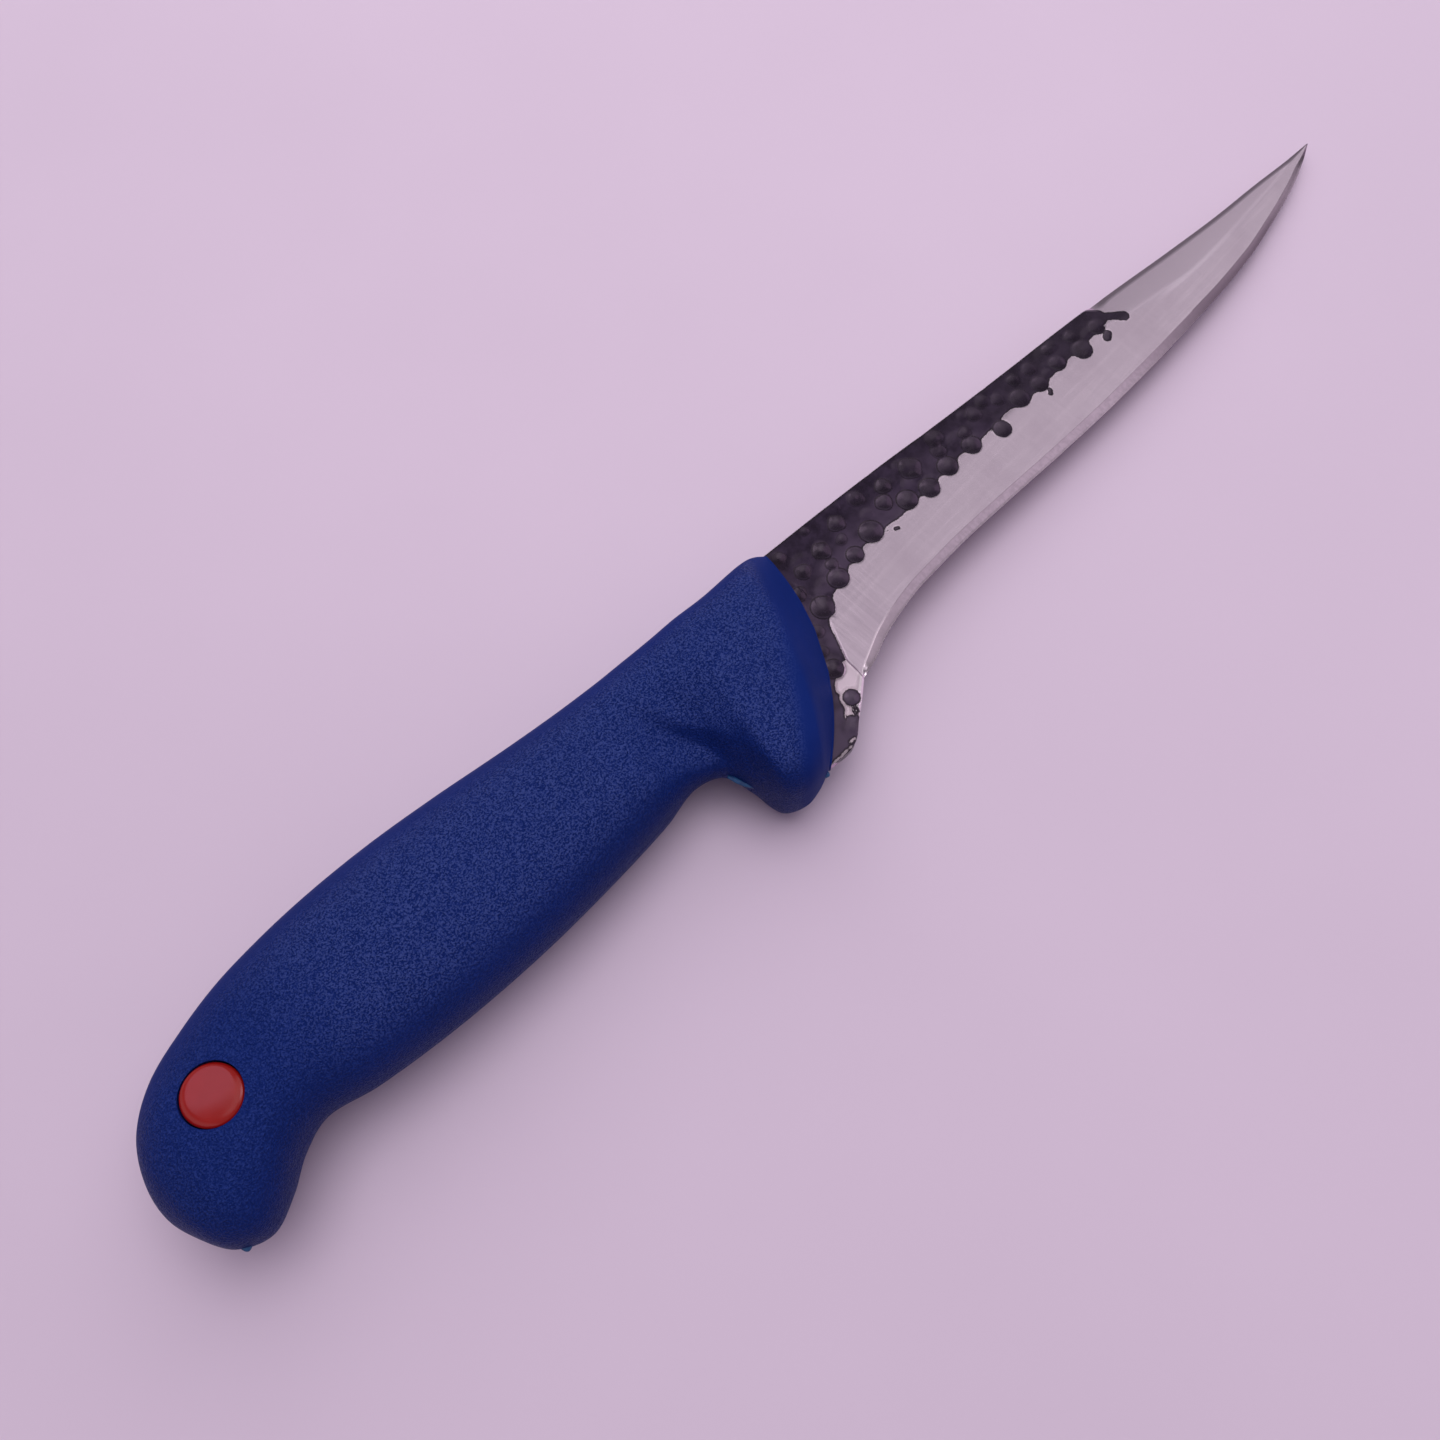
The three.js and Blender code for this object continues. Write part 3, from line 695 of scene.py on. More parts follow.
def ground_wear(x, y):
    """Painted sheen on the scale between the dents, most by the heel and near its lower limit."""
    shallow = 1 - smoothstep(scale_field(x, y), *GROUND_SHEEN_DEPTH)
    return shallow * (1 - GROUND_SHEEN_LOSS * smoothstep(x, *SHEEN_FADE))


def dent_outline(x, y):
    """Millimetres out from the nearest dent's rim, and how dark the painted shade on that rim is."""
    gap = np.full_like(x, RIM_FAR)
    dark = np.zeros_like(x)
    for away, radius, _, strength in dent_cups(x, y):
        nearer = away - radius < gap
        gap = np.where(nearer, away - radius, gap)
        dark = np.where(nearer, strength, dark)
    return gap, dark


def dark_tone(x, y):
    """Painted shade along the spine, over a tone that deepens towards the tip."""
    return np.maximum(np.exp(-(((spine_y(x) - y) / SPINE_RIM) ** 2)), 1 - faded(x))


def ripple_depth(x, y):
    ripple = np.zeros_like(x)
    for cx, cy, radius in ripple_places():
        cup = np.maximum(1 - ((x - cx) ** 2 + (y - cy) ** 2) / radius**2, 0)
        ripple = np.maximum(ripple, RIPPLE_DEPTH * cup * cup * (3 - 2 * cup))
    return ripple * smoothstep(scale_field(x, y), *RIPPLE_RISE)


def blade_limits(x):
    """Lower and upper limit of the blade, and the widths of its micro bevel, bevel and spine chamfer."""
    low = np.where(x < 0, heel_y(x), edge_y(x))
    low = np.where(x < CHOIL_SHOULDER_X, heel_y(CHOIL_SHOULDER_X) + CHOIL_SHOULDER_RISE, low)
    under = spine_y(BACK_SHOULDER_X) - BACK_SHOULDER_DROP
    hidden_back = np.interp(x, [ROOT_X, BACK_SHOULDER_X], [BACK_AT_ROOT, under])
    high = np.where(x < BACK_SHOULDER_X, hidden_back, spine_y(x))
    height = high - low
    at_heel = smoothstep(-x, *HEEL_TURN)
    bevel = np.minimum(through(BEVEL_WIDTH)(x), BEVEL_MOST * height) * (1 - at_heel) + HEEL_CHAMFER * at_heel
    micro = np.minimum(np.minimum(MICRO_WIDTH, MICRO_MOST_OF_BEVEL * bevel), MICRO_MOST * height)
    chamfer = np.minimum(through(SPINE_CHAMFER)(x), CHAMFER_MOST * height)
    return low, high, micro, bevel, chamfer


def blade_columns(low, high, micro, bevel, chamfer):
    """Heights of the grid's lines, from edge to spine, with lines on each crease."""
    span = high - low - bevel - chamfer
    steps = BLADE_COLUMNS - CREASE_LINES
    line = np.minimum(BEVEL_LINE_HALF, LINE_MOST_OF_BEVEL * (bevel - micro))
    line = np.minimum(line, LINE_MOST_OF_STEP * span / steps)
    inner = (low + bevel)[:, None] + np.linspace(0, 1, steps + 1) * span[:, None]
    lower = [low, low + micro, low + bevel - line, inner[:, 0], low + bevel + line]
    return np.column_stack([*lower, inner[:, 1:], high - chamfer / 2, high])


def half_thickness(x, y, low, high, micro, bevel, chamfer):
    """Half thickness of the blade: ground wedge, bevels, heel, swedge, and the dents sunk into them."""
    up = y - low
    level = np.minimum(BLADE_HALF, level_at(x))
    wedge = BEVEL_HALF + GRIND_SLOPE * np.maximum(up - bevel, 0)
    ground = -smooth_most(-wedge, -level, GRIND_BLEND)
    tip_rise = EDGE_HALF + (MICRO_HALF - EDGE_HALF) * up / micro
    bevel_rise = MICRO_HALF + (BEVEL_HALF - MICRO_HALF) * (up - micro) / (bevel - micro)
    ground = np.where(up < bevel, np.where(up < micro, tip_rise, bevel_rise), ground)
    shelf = BLADE_HALF - HEEL_CHAMFER_DROP * np.clip(1 - up / HEEL_CHAMFER, 0, 1)
    line_x, line_y = np.array(SCALE_LINE).T
    past = smoothstep(x - np.interp(y, line_y, line_x), 0, PLUNGE_WIDTH)
    half = np.where(x < PLUNGE_END_X, shelf + (ground - shelf) * past, ground)
    half = half - SWEDGE_SLOPE * np.maximum(chamfer - high + y, 0)
    half = half - dent_depth(x, y) - ripple_depth(x, y)
    return np.maximum(half, SPINE_LEAST * np.minimum(up / MICRO_WIDTH + EDGE_LEAST, 1))


def blade_grid():
    """Places and half thicknesses of one side, as rows from the root to the tip."""
    tip = BLADE_LENGTH - TIP_STUB
    fine = np.arange(ROOT_X, FINE_END_X, FINE_STEP)
    coarse = np.arange(FINE_END_X, tip - COARSE_STEP / 2, COARSE_STEP)
    x = np.r_[fine, coarse, tip]
    limits = blade_limits(x)
    y = blade_columns(*limits)
    x = np.broadcast_to(x[:, None], y.shape)
    half = half_thickness(x, y, *(limit[:, None] for limit in limits))
    return np.stack([x, y, half], axis=-1)


def blade_body():
    near = blade_grid()
    index = grid_index(near)
    rims = [index[:, 0], index[::-1, -1], index[0, ::-1], index[-1]]
    blade = mirrored_piece("boning_blade", near, rims)
    mark_creases(blade.data, index.shape[1])
    return blade


def mark_creases(mesh, columns):
    """Keeps the lines of the bevels and of the spine crisp."""
    crisp = (0, 1, 3, columns - 3, columns - 1)
    ends = np.empty(len(mesh.edges) * 2, int)
    mesh.edges.foreach_get("vertices", ends)
    a, b = ends.reshape(-1, 2).T
    sharp = (a % columns == b % columns) & np.isin(a % columns, crisp)
    attribute = mesh.attributes.new("sharp_edge", "BOOLEAN", "EDGE")
    attribute.data.foreach_set("value", sharp)


def tang_body():
    """The tang, hidden in the handle, with the holes that lock it in the plastic."""
    x = np.linspace(TANG_END_X, TANG_ROOT_X, TANG_STEPS)
    middle, height = (np.interp(x, *np.array(points, float).T) for points in (TANG_MIDDLE, TANG_HEIGHT))
    ring = [(-0.5, 1), (0.5, 1), (0.5, -1), (-0.5, -1)]
    rows = [[(xi, m + h * s, BLADE_HALF * z) for s, z in ring] for xi, m, h in zip(x, middle, height)]
    tang = new_piece("tang", np.vstack(rows), tube_faces(len(rows)))
    wall = [(TANG_HOLE_RADIUS, CUT_REACH), (TANG_HOLE_RADIUS, -CUT_REACH)]
    profile = [(0, CUT_REACH), *wall, (0, -CUT_REACH)]
    for hole_x in TANG_HOLES_X:
        hole_y = float(np.interp(hole_x, *np.array(TANG_MIDDLE, float).T))
        cut_away(tang, lathe("tang_hole", profile, (hole_x, hole_y)))
    return tang


def mark_scale(mesh, x, y):
    """Where the black scale lies, its painted sheen, highlights and shade, and how dark it is."""
    gap, dark = dent_outline(x, y)
    set_values(mesh, {
        "scale_depth": scale_field(x, y),
        # painted highlights on the dents' floors
        "dent_floor": dent_floor(x, y),
        # painted sheen between the dents
        "ground_wear": ground_wear(x, y),
        # painted shade along the spine and in the dents, over a tone that deepens towards the tip
        "dark_tone": np.maximum(dark_tone(x, y), painted_dent_shade(x, y)),
        "rim_gap": gap,
        # how dark the painted shade on the nearest dent's rim is
        "rim_dark": dark,
    })


def mark_steel(mesh, x, y):
    """Where each finish of the bare steel lies, and the highlights, sheen and shade painted on it: the
    grinds, the bevels, their lines and the heel.
    """
    low, high, _, bevel, chamfer = blade_limits(x)
    shaded_bevel = smoothstep(x, *BEVEL_START) * (y - low < bevel + BEVEL_LINE_HALF / 2)
    tip_bevel = smoothstep(x, *TIP_BEVEL_START) * (1 - TIP_BEVEL_LOSS * smoothstep(x, *TIP_BEVEL_END))
    over_bevel = y - low - bevel
    lines = smoothstep(x, *BEVEL_LINES_START)
    line = lines * np.exp(-((2 * over_bevel / BEVEL_LINE_HALF) ** 2))
    glint = lines * np.exp(-(((over_bevel + GLINT_SHIFT) / GLINT_WIDTH) ** 2))
    crease = (np.minimum(BLADE_HALF, level_at(x)) - BEVEL_HALF) / GRIND_SLOPE
    crest = np.exp(-(((y - through(CREST)(x)) / CREST_WIDTH) ** 2))
    start, end, radius = HEEL_EDGE_HIGHLIGHT
    set_values(mesh, {
        # painted shade on the bevel, deeper by the heel
        "bevel": shaded_bevel,
        "heel_bevel": shaded_bevel * (1 - smoothstep(x, *HEEL_BEVEL_END)),
        # painted shade on the bevel towards the tip
        "tip_bevel": shaded_bevel * tip_bevel,
        # painted shade along the bevel's upper crease
        "bevel_line": line * smoothstep(x, *DARK_LINE_START),
        # a glint painted along the bevel's upper crease by the heel
        "bevel_glint": glint * (1 - smoothstep(x, *GLINT_END)),
        # painted sheen on the tip's upper grind
        "upper_tip": smoothstep(over_bevel - crease, *TIP_CREASE_RISE) * smoothstep(x, *TIP_GRIND_START),
        # painted shade on the swedge
        "swedge": smoothstep((y - high + chamfer) / chamfer, *SWEDGE_RISE) * smoothstep(x, *SWEDGE_START),
        # painted highlight where the tip's grinds meet
        "crest": crest * smoothstep(x, *CREST_START) * (1 - smoothstep(x, *CREST_END)),
        "cross_lines": 1 - (1 - CROSS_LINES_LEAST) * smoothstep(x, *CROSS_LINES_END),
        # bare steel of the heel, painted paler as a painted reflection
        "heel_steel": 1 - smoothstep(x, *HEEL_STEEL_END),
        # a highlight painted along the heel's edge
        "bright_edge": smoothstep(radius - distance_to(x, y, start, end), *HEEL_HIGHLIGHT_RISE),
    })


def make_blade():
    blade, tang = blade_body(), tang_body()
    joined = {"object": blade, "active_object": blade, "selected_editable_objects": [blade, tang]}
    with bpy.context.temp_override(**joined):
        bpy.ops.object.join()
    x, y, _ = outline_points(blade.data).T
    mark_scale(blade.data, x, y)
    mark_steel(blade.data, x, y)
    return finish_piece(blade, "blade", blade_material())


# Handle
def placed_ribs():
    zones = (
        (POMMEL_RIBS, lambda x: HANDLE_END + x, POMMEL_THICKNESS),
        (GRIP_RIBS, lambda share: GRIP_REAR + share * (GRIP_FRONT - GRIP_REAR), HANDLE_THICKNESS),
        (NECK_RIBS, float, NECK_THICKNESS),
        (GUARD_RIBS, float, HANDLE_THICKNESS),
        (LIP_RIBS, float, LIP_THICKNESS),
    )
    ribs = []
    for zone, place_x, thickness in zones:
        for (back_x, back_y), (belly_x, belly_y), half, power, *rest in zone:
            back, belly = (place_x(back_x), back_y), (place_x(belly_x), belly_y)
            ribs.append((back, belly, half * thickness / 2, power, *(rest or PLAIN_RIB)))
    return ribs


def section_points(power, flat):
    """Shares along the rib and of its half thickness, from belly to back."""
    turn = np.linspace(0, math.pi / 2, QUARTER_POINTS)
    out = np.sin(turn) ** (2 / power)
    up = np.cos(turn) ** (2 / power)
    up[-1] = 0
    reach = CROWN - flat
    low = CROWN - flat - reach * out[::-1]
    high = CROWN + flat + reach * out
    return np.r_[low, high], np.r_[up[::-1], up]


def groove_depth(x, y):
    """Depth of the finger groove, steep at the guard's ridge and running out along the grip."""
    behind = through(RIDGE)(y) - x
    across = smoothstep(behind, *GROOVE_WALL) * (1 - smoothstep(behind, *GROOVE_FAR))
    return GROOVE_DEPTH * across * (1 - smoothstep(y, *GROOVE_TOP))


def handle_rows():
    ribs = placed_ribs()
    last = len(ribs) - 1
    outline = centripetal([rib[1] for rib in ribs[:0:-1]] + [rib[0] for rib in ribs])
    s = np.linspace(0, last, last * HANDLE_STEPS + 1)
    back, belly = outline(last + s), outline(last - s)
    along = [through([(i, rib[key]) for i, rib in enumerate(ribs)])(s) for key in range(2, 7)]
    rows = []
    for i, (half, power, flat, bow, scoop) in enumerate(zip(*along)):
        share, up = section_points(power, flat)
        across = back[i] - belly[i]
        length = max(np.linalg.norm(across), TINY)
        forward = np.array([across[1], -across[0]]) / length
        if i:
            share[1:-1] = 0.5 + (share[1:-1] - 0.5) * (1 - 2 * SEAM_HEIGHT / max(length, 1))
        line = belly[i] + share[:, None] * across + (bow * 4 * share * (1 - share))[:, None] * forward
        hollow = 1 - scoop * (1 - smoothstep(share, SCOOP_LOW, SCOOP_HIGH))
        rows.append(np.column_stack([line, half * up * hollow - up * groove_depth(*line.T)]))
    for turn in np.linspace(0, math.pi / 2, LIP_STEPS + 1)[1:]:
        row = rows[last * HANDLE_STEPS].copy()
        row[:, :2] += forward * LIP_ROUND * math.sin(turn)
        row[:, 2] = np.minimum(row[:, 2], LIP_INNER + (LIP_THICKNESS / 2 - LIP_INNER) * math.cos(turn))
        rows.append(row)
    return np.array(rows)


def handle_body():
    near = handle_rows()
    handle = mirrored_piece("moulded_handle", near, [grid_index(near)[-1]], HANDLE_MERGE)
    seat = POMMEL_THICKNESS / 2 - PLUG_SINK
    bottom = seat - PLUG_DEPTH - PLUG_CLEARANCE
    radius = PLUG_RADIUS + PLUG_CLEARANCE
    profile = [(0, seat + CUT_REACH), (radius, seat + CUT_REACH), (radius, bottom), (0, bottom)]
    for side in (1, -1):
        cut_away(handle, lathe("plug_hole", profile, PLUG_PLACE, side))
    handle.data.set_sharp_from_angle(angle=math.radians(HANDLE_SHARP))
    return handle


def make_handle():
    handle = handle_body()
    x, y, _ = outline_points(handle.data).T
    normals = np.empty(len(x) * 3)
    handle.data.vertex_normals.foreach_get("vector", normals)
    _, back, up = normals.reshape(-1, 3).T
    facet = x - through(FACET_LINE)(y)
    grained = (1 - smoothstep(facet, -FACET_FADE / 2, FACET_FADE / 2)) * (1 - smoothstep(back, *BACK_SMOOTH))
    # A painted sheen on the level skin of the crown, weaker on the pommel
    sheen_left = 1 - POMMEL_SHEEN_LOSS * smoothstep(GRIP_REAR - x, *POMMEL_START)
    polish = grained * sheen_left * smoothstep(np.abs(up), *SHEEN_RISE)
    set_values(handle.data, {"grain_depth": grained, "polish": polish})
    return finish_piece(handle, "handle", handle_material())


def make_plug(name, node, side, material):
    seat = POMMEL_THICKNESS / 2 - PLUG_SINK
    radii = PLUG_RADIUS * np.sin(np.linspace(0, math.pi / 2, PLUG_RINGS))
    past = np.maximum(radii - PLUG_RADIUS + PLUG_ROUND_WIDTH, 0) / PLUG_ROUND_WIDTH
    drop = PLUG_DOME * (radii / PLUG_RADIUS) ** 2 + PLUG_ROUND_DEPTH * (1 - np.sqrt(1 - past**2))
    profile = [(r, seat - d) for r, d in zip(radii, drop)]
    profile += [(PLUG_RADIUS, seat - PLUG_DEPTH), (0, seat - PLUG_DEPTH)]
    plug = lathe(name, profile, PLUG_PLACE, side)
    plug.data.set_sharp_from_angle(angle=math.radians(PLUG_SHARP))
    return finish_piece(plug, node, material)


def make_flash(name, start, middle, end, outward, height, half, material):
    """A thin fin of plastic that the mould's seam squeezed out, tallest in its middle."""
    line = centripetal([start, middle, end])(np.linspace(0, 2, FLASH_STEPS + 1))
    swell = np.sin(np.linspace(0, math.pi, FLASH_STEPS + 1))[:, None]
    inner = line - np.array(outward) * height
    outer = line + np.array(outward) * height * (swell - FLASH_SINK)
    thin = half * FLASH_THIN
    ring = [(inner, half), (outer, thin), (outer, -thin), (inner, -half)]
    points = np.stack([np.column_stack([side, np.full(len(line), z)]) for side, z in ring], axis=1)
    piece = new_piece(name, points.reshape(-1, 3), tube_faces(len(line)))
    return finish_piece(piece, None, material)


# Materials
class Graph:
    """The nodes of one material or world, with a short call for each kind in use."""

    def __init__(self, owner):
        owner.use_nodes = True
        self.nodes = owner.node_tree.nodes
        self.links = owner.node_tree.links

    def fill(self, socket, value):
        """Gives an input a number, a colour or vector, another node's output, or an attribute by its name."""
        if isinstance(value, str):
            value = self.add("ShaderNodeAttribute", {}, attribute_name=value).outputs["Fac"]
        if isinstance(value, bpy.types.NodeSocket):
            self.links.new(value, socket)
        elif isinstance(value, tuple):
            socket.default_value = (*value, 1)[:len(socket.default_value)]
        else:
            socket.default_value = value

    def add(self, kind, inputs, **settings):
        """A new node with its settings, and its inputs filled by name or number."""
        node = self.nodes.new(kind)
        for key, value in settings.items():
            setattr(node, key, value)
        for key, value in inputs.items():
            self.fill(node.inputs[key], value)
        return node

    def noise(self, scale, detail, distortion=0):
        """Noise in the part's own frame, its scale per metre one number or one for each axis."""
        where = self.add("ShaderNodeTexCoord", {}).outputs["Object"]
        scales = scale if isinstance(scale, tuple) else (scale,) * 3
        stretched = self.add("ShaderNodeMapping", {"Vector": where, "Scale": scales}).outputs["Vector"]
        look = {"Scale": 1, "Detail": detail, "Roughness": NOISE_ROUGHNESS, "Distortion": distortion}
        return self.add("ShaderNodeTexNoise", {"Vector": stretched, **look}).outputs["Fac"]

    def ranged(self, value, low, high, to_low=0, to_high=1):
        """A value's range brought to another, with soft ends."""
        inputs = {"Value": value, "From Min": low, "From Max": high, "To Min": to_low, "To Max": to_high}
        return self.add("ShaderNodeMapRange", inputs, interpolation_type="SMOOTHSTEP").outputs["Result"]

    def maths(self, operation, first, second):
        return self.add("ShaderNodeMath", {0: first, 1: second}, operation=operation).outputs["Value"]

    def times(self, first, second):
        return self.maths("MULTIPLY", first, second)

    def rest_of(self, share):
        return self.maths("SUBTRACT", 1, share)

    def mixed(self, share, first, second):
        """A colour between two."""
        return self.add("ShaderNodeMix", {0: share, 6: first, 7: second}, data_type="RGBA").outputs[2]

    def cloudy(self, clouds, dark, pale):
        return self.mixed(self.ranged(clouds, *CLOUD_RANGE), dark, pale)

    def layered(self, colour, layers):
        """A colour with others laid over it in turn, each as its share and its colour."""
        for share, over in layers:
            colour = self.mixed(share, colour, over)
        return colour

    def bumped(self, height, strength, distance, before=None):
        inputs = {"Height": height, "Strength": strength, "Distance": distance}
        if before is not None:
            inputs["Normal"] = before
        return self.add("ShaderNodeBump", inputs).outputs["Normal"]

    def facing(self, direction, axis):
        """How far a direction agrees with an axis, as a cosine."""
        inputs = {0: direction, 1: axis}
        return self.add("ShaderNodeVectorMath", inputs, operation="DOT_PRODUCT").outputs["Value"]


def new_material(name):
    material = bpy.data.materials.new(name)
    graph = Graph(material)
    return material, graph, graph.nodes["Principled BSDF"].inputs


def blade_material():
    material, graph, shader = new_material("blade_finish")
    ragged = graph.ranged(graph.noise(1400, 3), *CLOUD_RANGE, -0.07, 0.07)
    depth = graph.maths("ADD", "scale_depth", ragged)
    scale = graph.ranged(depth, -0.06, 0.06)
    bare = graph.rest_of(scale)
    lines = graph.maths("SUBTRACT", graph.noise((1900, 50, 50), 3), 0.5)
    lines = graph.times(lines, "cross_lines")
    steel = steel_colour(graph, depth, lines)
    # rim holds the scale's painted shade and darkest tone, which also roughen it
    black, rim = scale_colour(graph, depth)
    graph.fill(shader["Base Color"], graph.mixed(scale, steel, black))
    graph.fill(shader["Metallic"], bare)

    pits = graph.noise(2600, 4)
    satin = graph.ranged(lines, -0.25, 0.25, 0.2, 0.26)
    crust = graph.maths("ADD", graph.ranged(pits, *CLOUD_RANGE, 0.1, 0.19), graph.times(rim, 0.15))
    rough = graph.add("ShaderNodeMix", {0: scale, 2: satin, 3: crust}, data_type="FLOAT")
    graph.fill(shader["Roughness"], rough.outputs[0])

    normal = graph.bumped(graph.times(lines, bare), *LINES_BUMP)
    graph.fill(shader["Normal"], graph.bumped(graph.times(pits, scale), *PITS_BUMP, normal))
    graph.fill(shader["Specular IOR Level"], 0.4)
    graph.fill(shader["Specular Tint"], SCALE_TINT)
    return material


def steel_colour(graph, depth, lines):
    """Satin steel: cross lines from grinding, faint lengthwise streaks, a mottled bevel painted darker as
    painted shade, painted shade on the swedge, on the bevel towards the tip and along the bevel's upper
    crease, a glint painted along that crease by the heel, a sheen painted on the tip's upper grind,
    highlights painted where the tip's grinds meet and along the heel's edge, and a pale heel whose paleness
    is partly a painted reflection.
    """
    streaks = graph.noise((40, 900, 140), 3)
    patches = graph.noise(120, 2)
    mottle = graph.noise((1500, 900, 900), 3)
    halo = graph.times(graph.ranged(depth, -0.4, -0.05, 0, 0.4), graph.rest_of("heel_steel"))
    steel = graph.mixed(graph.ranged(lines, -0.2, 0.2), STEEL_DARK, STEEL_PALE)
    return graph.layered(steel, (
        (graph.ranged(streaks, 0.45, 0.7, 0, 0.3), STREAK_STEEL),
        (graph.ranged(patches, 0.4, 0.7, 0, 0.35), PATCH_STEEL),
        ("upper_tip", UPPER_TIP_SHEEN_STEEL),
        ("swedge", SWEDGE_SHADE_STEEL),
        (graph.times("crest", graph.ranged(streaks, 0.35, 0.6, 0.1, 0.45)), CREST_HIGHLIGHT_STEEL),
        (graph.times("bevel", graph.ranged(mottle, 0.35, 0.65, 0.91, 1)), BEVEL_SHADE_STEEL),
        ("heel_bevel", HEEL_BEVEL_SHADE_STEEL),
        (graph.times("tip_bevel", 0.95), TIP_BEVEL_SHADE_STEEL),
        (graph.times("bevel_line", 0.45), BEVEL_LINE_SHADE_STEEL),
        ("bevel_glint", PAINTED_GLINT_STEEL),
        (halo, HALO_STEEL),
        ("heel_steel", HEEL_SHEEN_STEEL),
        (graph.times("heel_steel", graph.ranged(depth, -0.7, -0.05, 0, 0.5)), SOOTY_STEEL),
        ("bright_edge", HEEL_HIGHLIGHT_STEEL),
    ))


def scale_colour(graph, depth):
    """Black scale: cloudy, with painted sheen by the heel and near its limit, painted highlights in the
    dents, painted shade at the dents' rims, in the dents and along the spine, and darkest along its limit and
    towards the tip.
    """
    # a sheen painted between the dents, by the heel and near the scale's limit
    painted_sheen = graph.times(graph.ranged(graph.noise(210, 2), 0.35, 0.65, 0.1, 1), "ground_wear")
    # pale holds the painted highlights on the dents' floors
    pale = graph.times(graph.ranged(graph.noise(800, 2), 0.3, 0.65, 0.45, 1), "dent_floor")
    gap = graph.maths("ABSOLUTE", "rim_gap", 0)
    # ring is the painted shade on the dents' rims
    ring = graph.times(graph.ranged(gap, *RIM_HALF, 1, 0), "rim_dark")
    # rim adds the painted shade in the dents and along the spine, the tone towards the tip, and the dark
    # along the scale's limit
    rim = graph.maths("MAXIMUM", ring, "dark_tone")
    rim = graph.maths("MAXIMUM", rim, graph.ranged(depth, 0.05, 0.5, 1, 0))
    black = graph.mixed(graph.ranged(graph.noise(330, 3), 0.35, 0.7), SCALE_DARK, SCALE_PALE)
    return graph.layered(black, ((painted_sheen, GROUND_SHEEN_SCALE), (pale, DENT_HIGHLIGHT_SCALE), (rim, SCALE_SHADE_AND_DARKEST))), rim


def handle_material():
    material, graph, shader = new_material("handle_finish")
    worms = graph.noise(3300, 1, 0.5)
    grained = graph.ranged("grain_depth", 0, 1, 0.08, 1)
    grain = graph.times(worms, grained)
    blue = graph.layered(graph.cloudy(graph.noise(70, 3), BLUE_DARK, BLUE_PALE), (
        (graph.times(graph.ranged(worms, 0.34, 0.52, 0.55, 0), grained), GRAIN_DARK),
        (graph.times(graph.ranged(worms, 0.5, 0.66, 0, 0.55), grained), GRAIN_PALE),
        # a painted sheen on the crown, speckled by the grain
        (graph.times(graph.ranged(worms, 0.4, 0.64), "polish"), SHEEN_BLUE),
    ))
    graph.fill(shader["Base Color"], blue)
    graph.fill(shader["Roughness"], graph.ranged(grain, 0.05, 0.7, 0.62, 0.38))
    graph.fill(shader["Normal"], graph.bumped(grain, *GRAIN_BUMP))
    graph.fill(shader["Specular IOR Level"], 0.08)
    return material


def plug_material():
    material, graph, shader = new_material("plug_finish")
    ripple = graph.noise(420, 2)
    graph.fill(shader["Base Color"], graph.cloudy(graph.noise(160, 3), RED_DARK, RED_PALE))
    graph.fill(shader["Roughness"], graph.ranged(ripple, *CLOUD_RANGE, 0.1, 0.18))
    graph.fill(shader["Normal"], graph.bumped(ripple, *PLUG_BUMP))
    return material


def flash_material():
    material, graph, shader = new_material("flash_finish")
    clouds = graph.noise(900, 3)
    graph.fill(shader["Base Color"], graph.cloudy(clouds, CYAN_DARK, CYAN_PALE))
    graph.fill(shader["Roughness"], graph.ranged(clouds, *CLOUD_RANGE, 0.3, 0.5))
    return material


def floor_material():
    material, graph, shader = new_material("floor_finish")
    darker = tuple(channel * FLOOR_CLOUDS for channel in FLOOR_COLOUR)
    graph.fill(shader["Base Color"], graph.cloudy(graph.noise(9, 3), FLOOR_COLOUR, darker))
    graph.fill(shader["Roughness"], 0.7)
    graph.fill(shader["Specular IOR Level"], 0.2)
    return material


# Studio
def make_floor(pieces):
    """A floor that just touches the part, rising to the tip as the knife lies in the photograph."""
    slope = math.tan(math.radians(FLOOR_SLOPE))
    points = place(np.vstack([outline_points(piece.data) for piece in pieces]))
    level = (points[:, 2] - slope * points[:, 0]).min()
    half = FLOOR_SIZE / 2 * MM
    corners = [(-half, -half), (half, -half), (half, half), (-half, half)]
    mesh = bpy.data.meshes.new("floor")
    mesh.from_pydata([(x, y, level + slope * x) for x, y in corners], [], [(0, 1, 2, 3)])
    mesh.materials.append(floor_material())
    floor = new_object("floor", mesh)


def make_camera():
    data = bpy.data.cameras.new("camera")
    data.sensor_width = SENSOR_WIDTH
    data.lens = SENSOR_WIDTH * FOCAL_PIXELS / PHOTO_SIZE
    data.clip_start = CLIP_START * MM
    camera = new_object("camera", data)
    camera.location = place([CAMERA_PLACE])[0]
    camera.rotation_euler = (math.radians(CAMERA_TILT), 0, math.radians(CAMERA_HEADING - 90))
    bpy.context.scene.camera = camera


def make_light(data, location, power):
    """A lamp aimed at the middle of the part, which shiny surfaces don't mirror."""
    data.energy = power
    light = new_object(data.name, data)
    light.location = location
    light.rotation_euler = (-light.location).to_track_quat("-Z", "Y").to_euler()
    light.visible_glossy = False


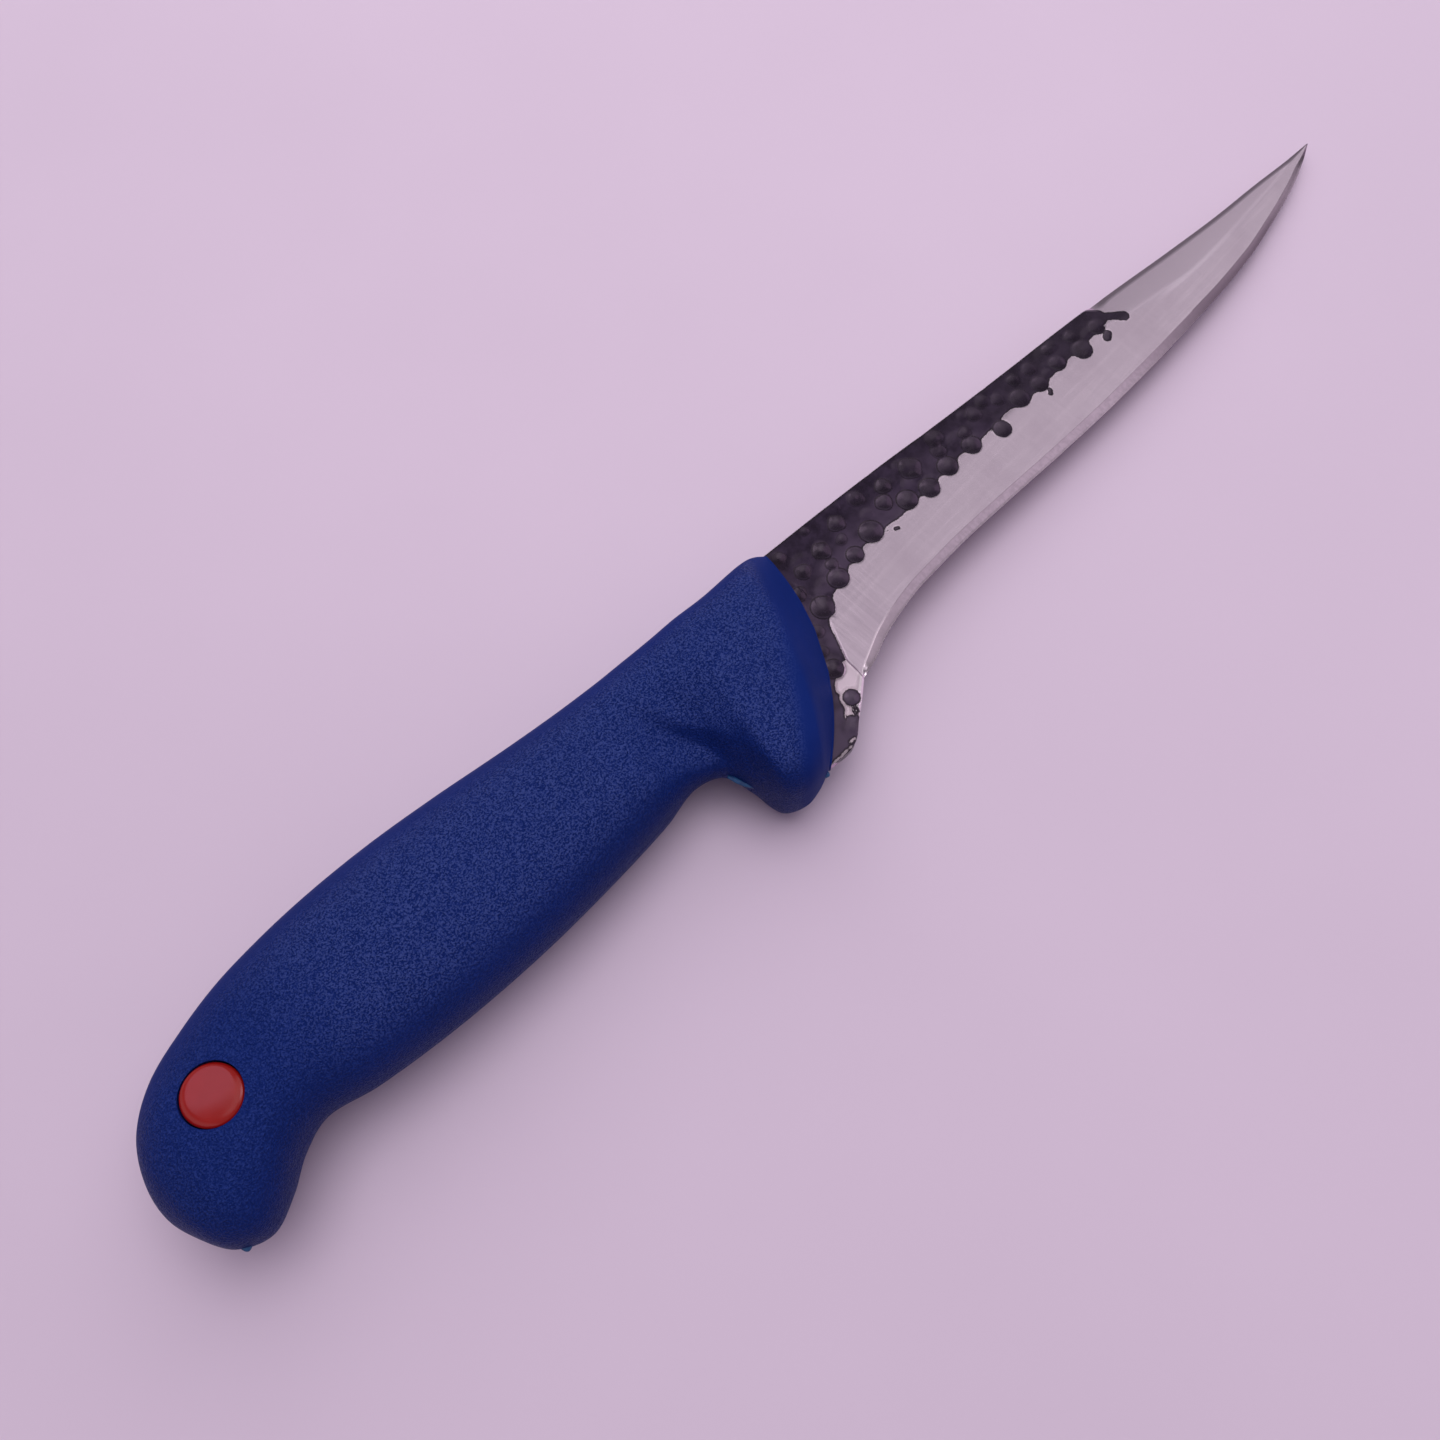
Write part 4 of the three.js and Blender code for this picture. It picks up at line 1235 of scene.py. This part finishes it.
def make_lights():
    sun = bpy.data.lights.new("soft_sun", "SUN")
    sun.angle = math.radians(SUN_ANGLE)
    make_light(sun, SUN_PLACE, SUN_POWER)
    key = bpy.data.lights.new("soft_key", "AREA")
    key.shape = "RECTANGLE"
    key.size, key.size_y = KEY_SIZE
    make_light(key, KEY_PLACE, KEY_POWER)


def make_world():
    """An even dim room before a pale backdrop, and the studio that shiny surfaces mirror."""
    world = bpy.data.worlds.new("studio")
    graph = Graph(world)
    where = graph.add("ShaderNodeTexCoord", {}).outputs["Generated"]
    across = graph.facing(where, WALL_ACROSS)
    forward = graph.facing(where, WALL_ALONG)
    glow = graph.times(graph.ranged(across, *GLOW_RISE, 1, 0), graph.ranged(across, *GLOW_FALL))
    wall = graph.times(graph.ranged(across, *WALL_SPREAD, 1, 0), graph.ranged(forward, *WALL_START))
    low = graph.ranged(graph.facing(where, (0, 0, 1)), *HORIZON, 1, 0)
    layers = [
        (wall, graph.mixed(glow, WALL_COLOUR, GLOW_COLOUR)),
        (graph.ranged(forward, *REAR_START, 1, 0), REAR_COLOUR),
        (low, HORIZON_COLOUR),
    ]
    for axis, rise, colour in (WINDOW, CEILING, LAMP):
        layers.append((graph.ranged(graph.facing(where, axis), *rise), colour))
    ray = graph.add("ShaderNodeLightPath", {}).outputs
    tone = graph.mixed(ray["Is Glossy Ray"], ROOM_LEVEL, graph.layered(ROOM_DARK, layers))
    tone = graph.mixed(ray["Is Camera Ray"], tone, BACKDROP)
    graph.fill(graph.nodes["Background"].inputs["Color"], tone)
    bpy.context.scene.world = world


blade_piece = make_blade()
handle_piece = make_handle()
red_plastic = plug_material()
make_plug("red_plug_near", "plug_near", 1, red_plastic)
make_plug("red_plug_far", "plug_far", -1, red_plastic)
thin_plastic = flash_material()
for flash_name, flash_shape in FLASH.items():
    make_flash(flash_name, *flash_shape, thin_plastic)

make_floor([blade_piece, handle_piece])
make_camera()
make_world()
make_lights()
bpy.context.scene.view_settings.view_transform = "Standard"
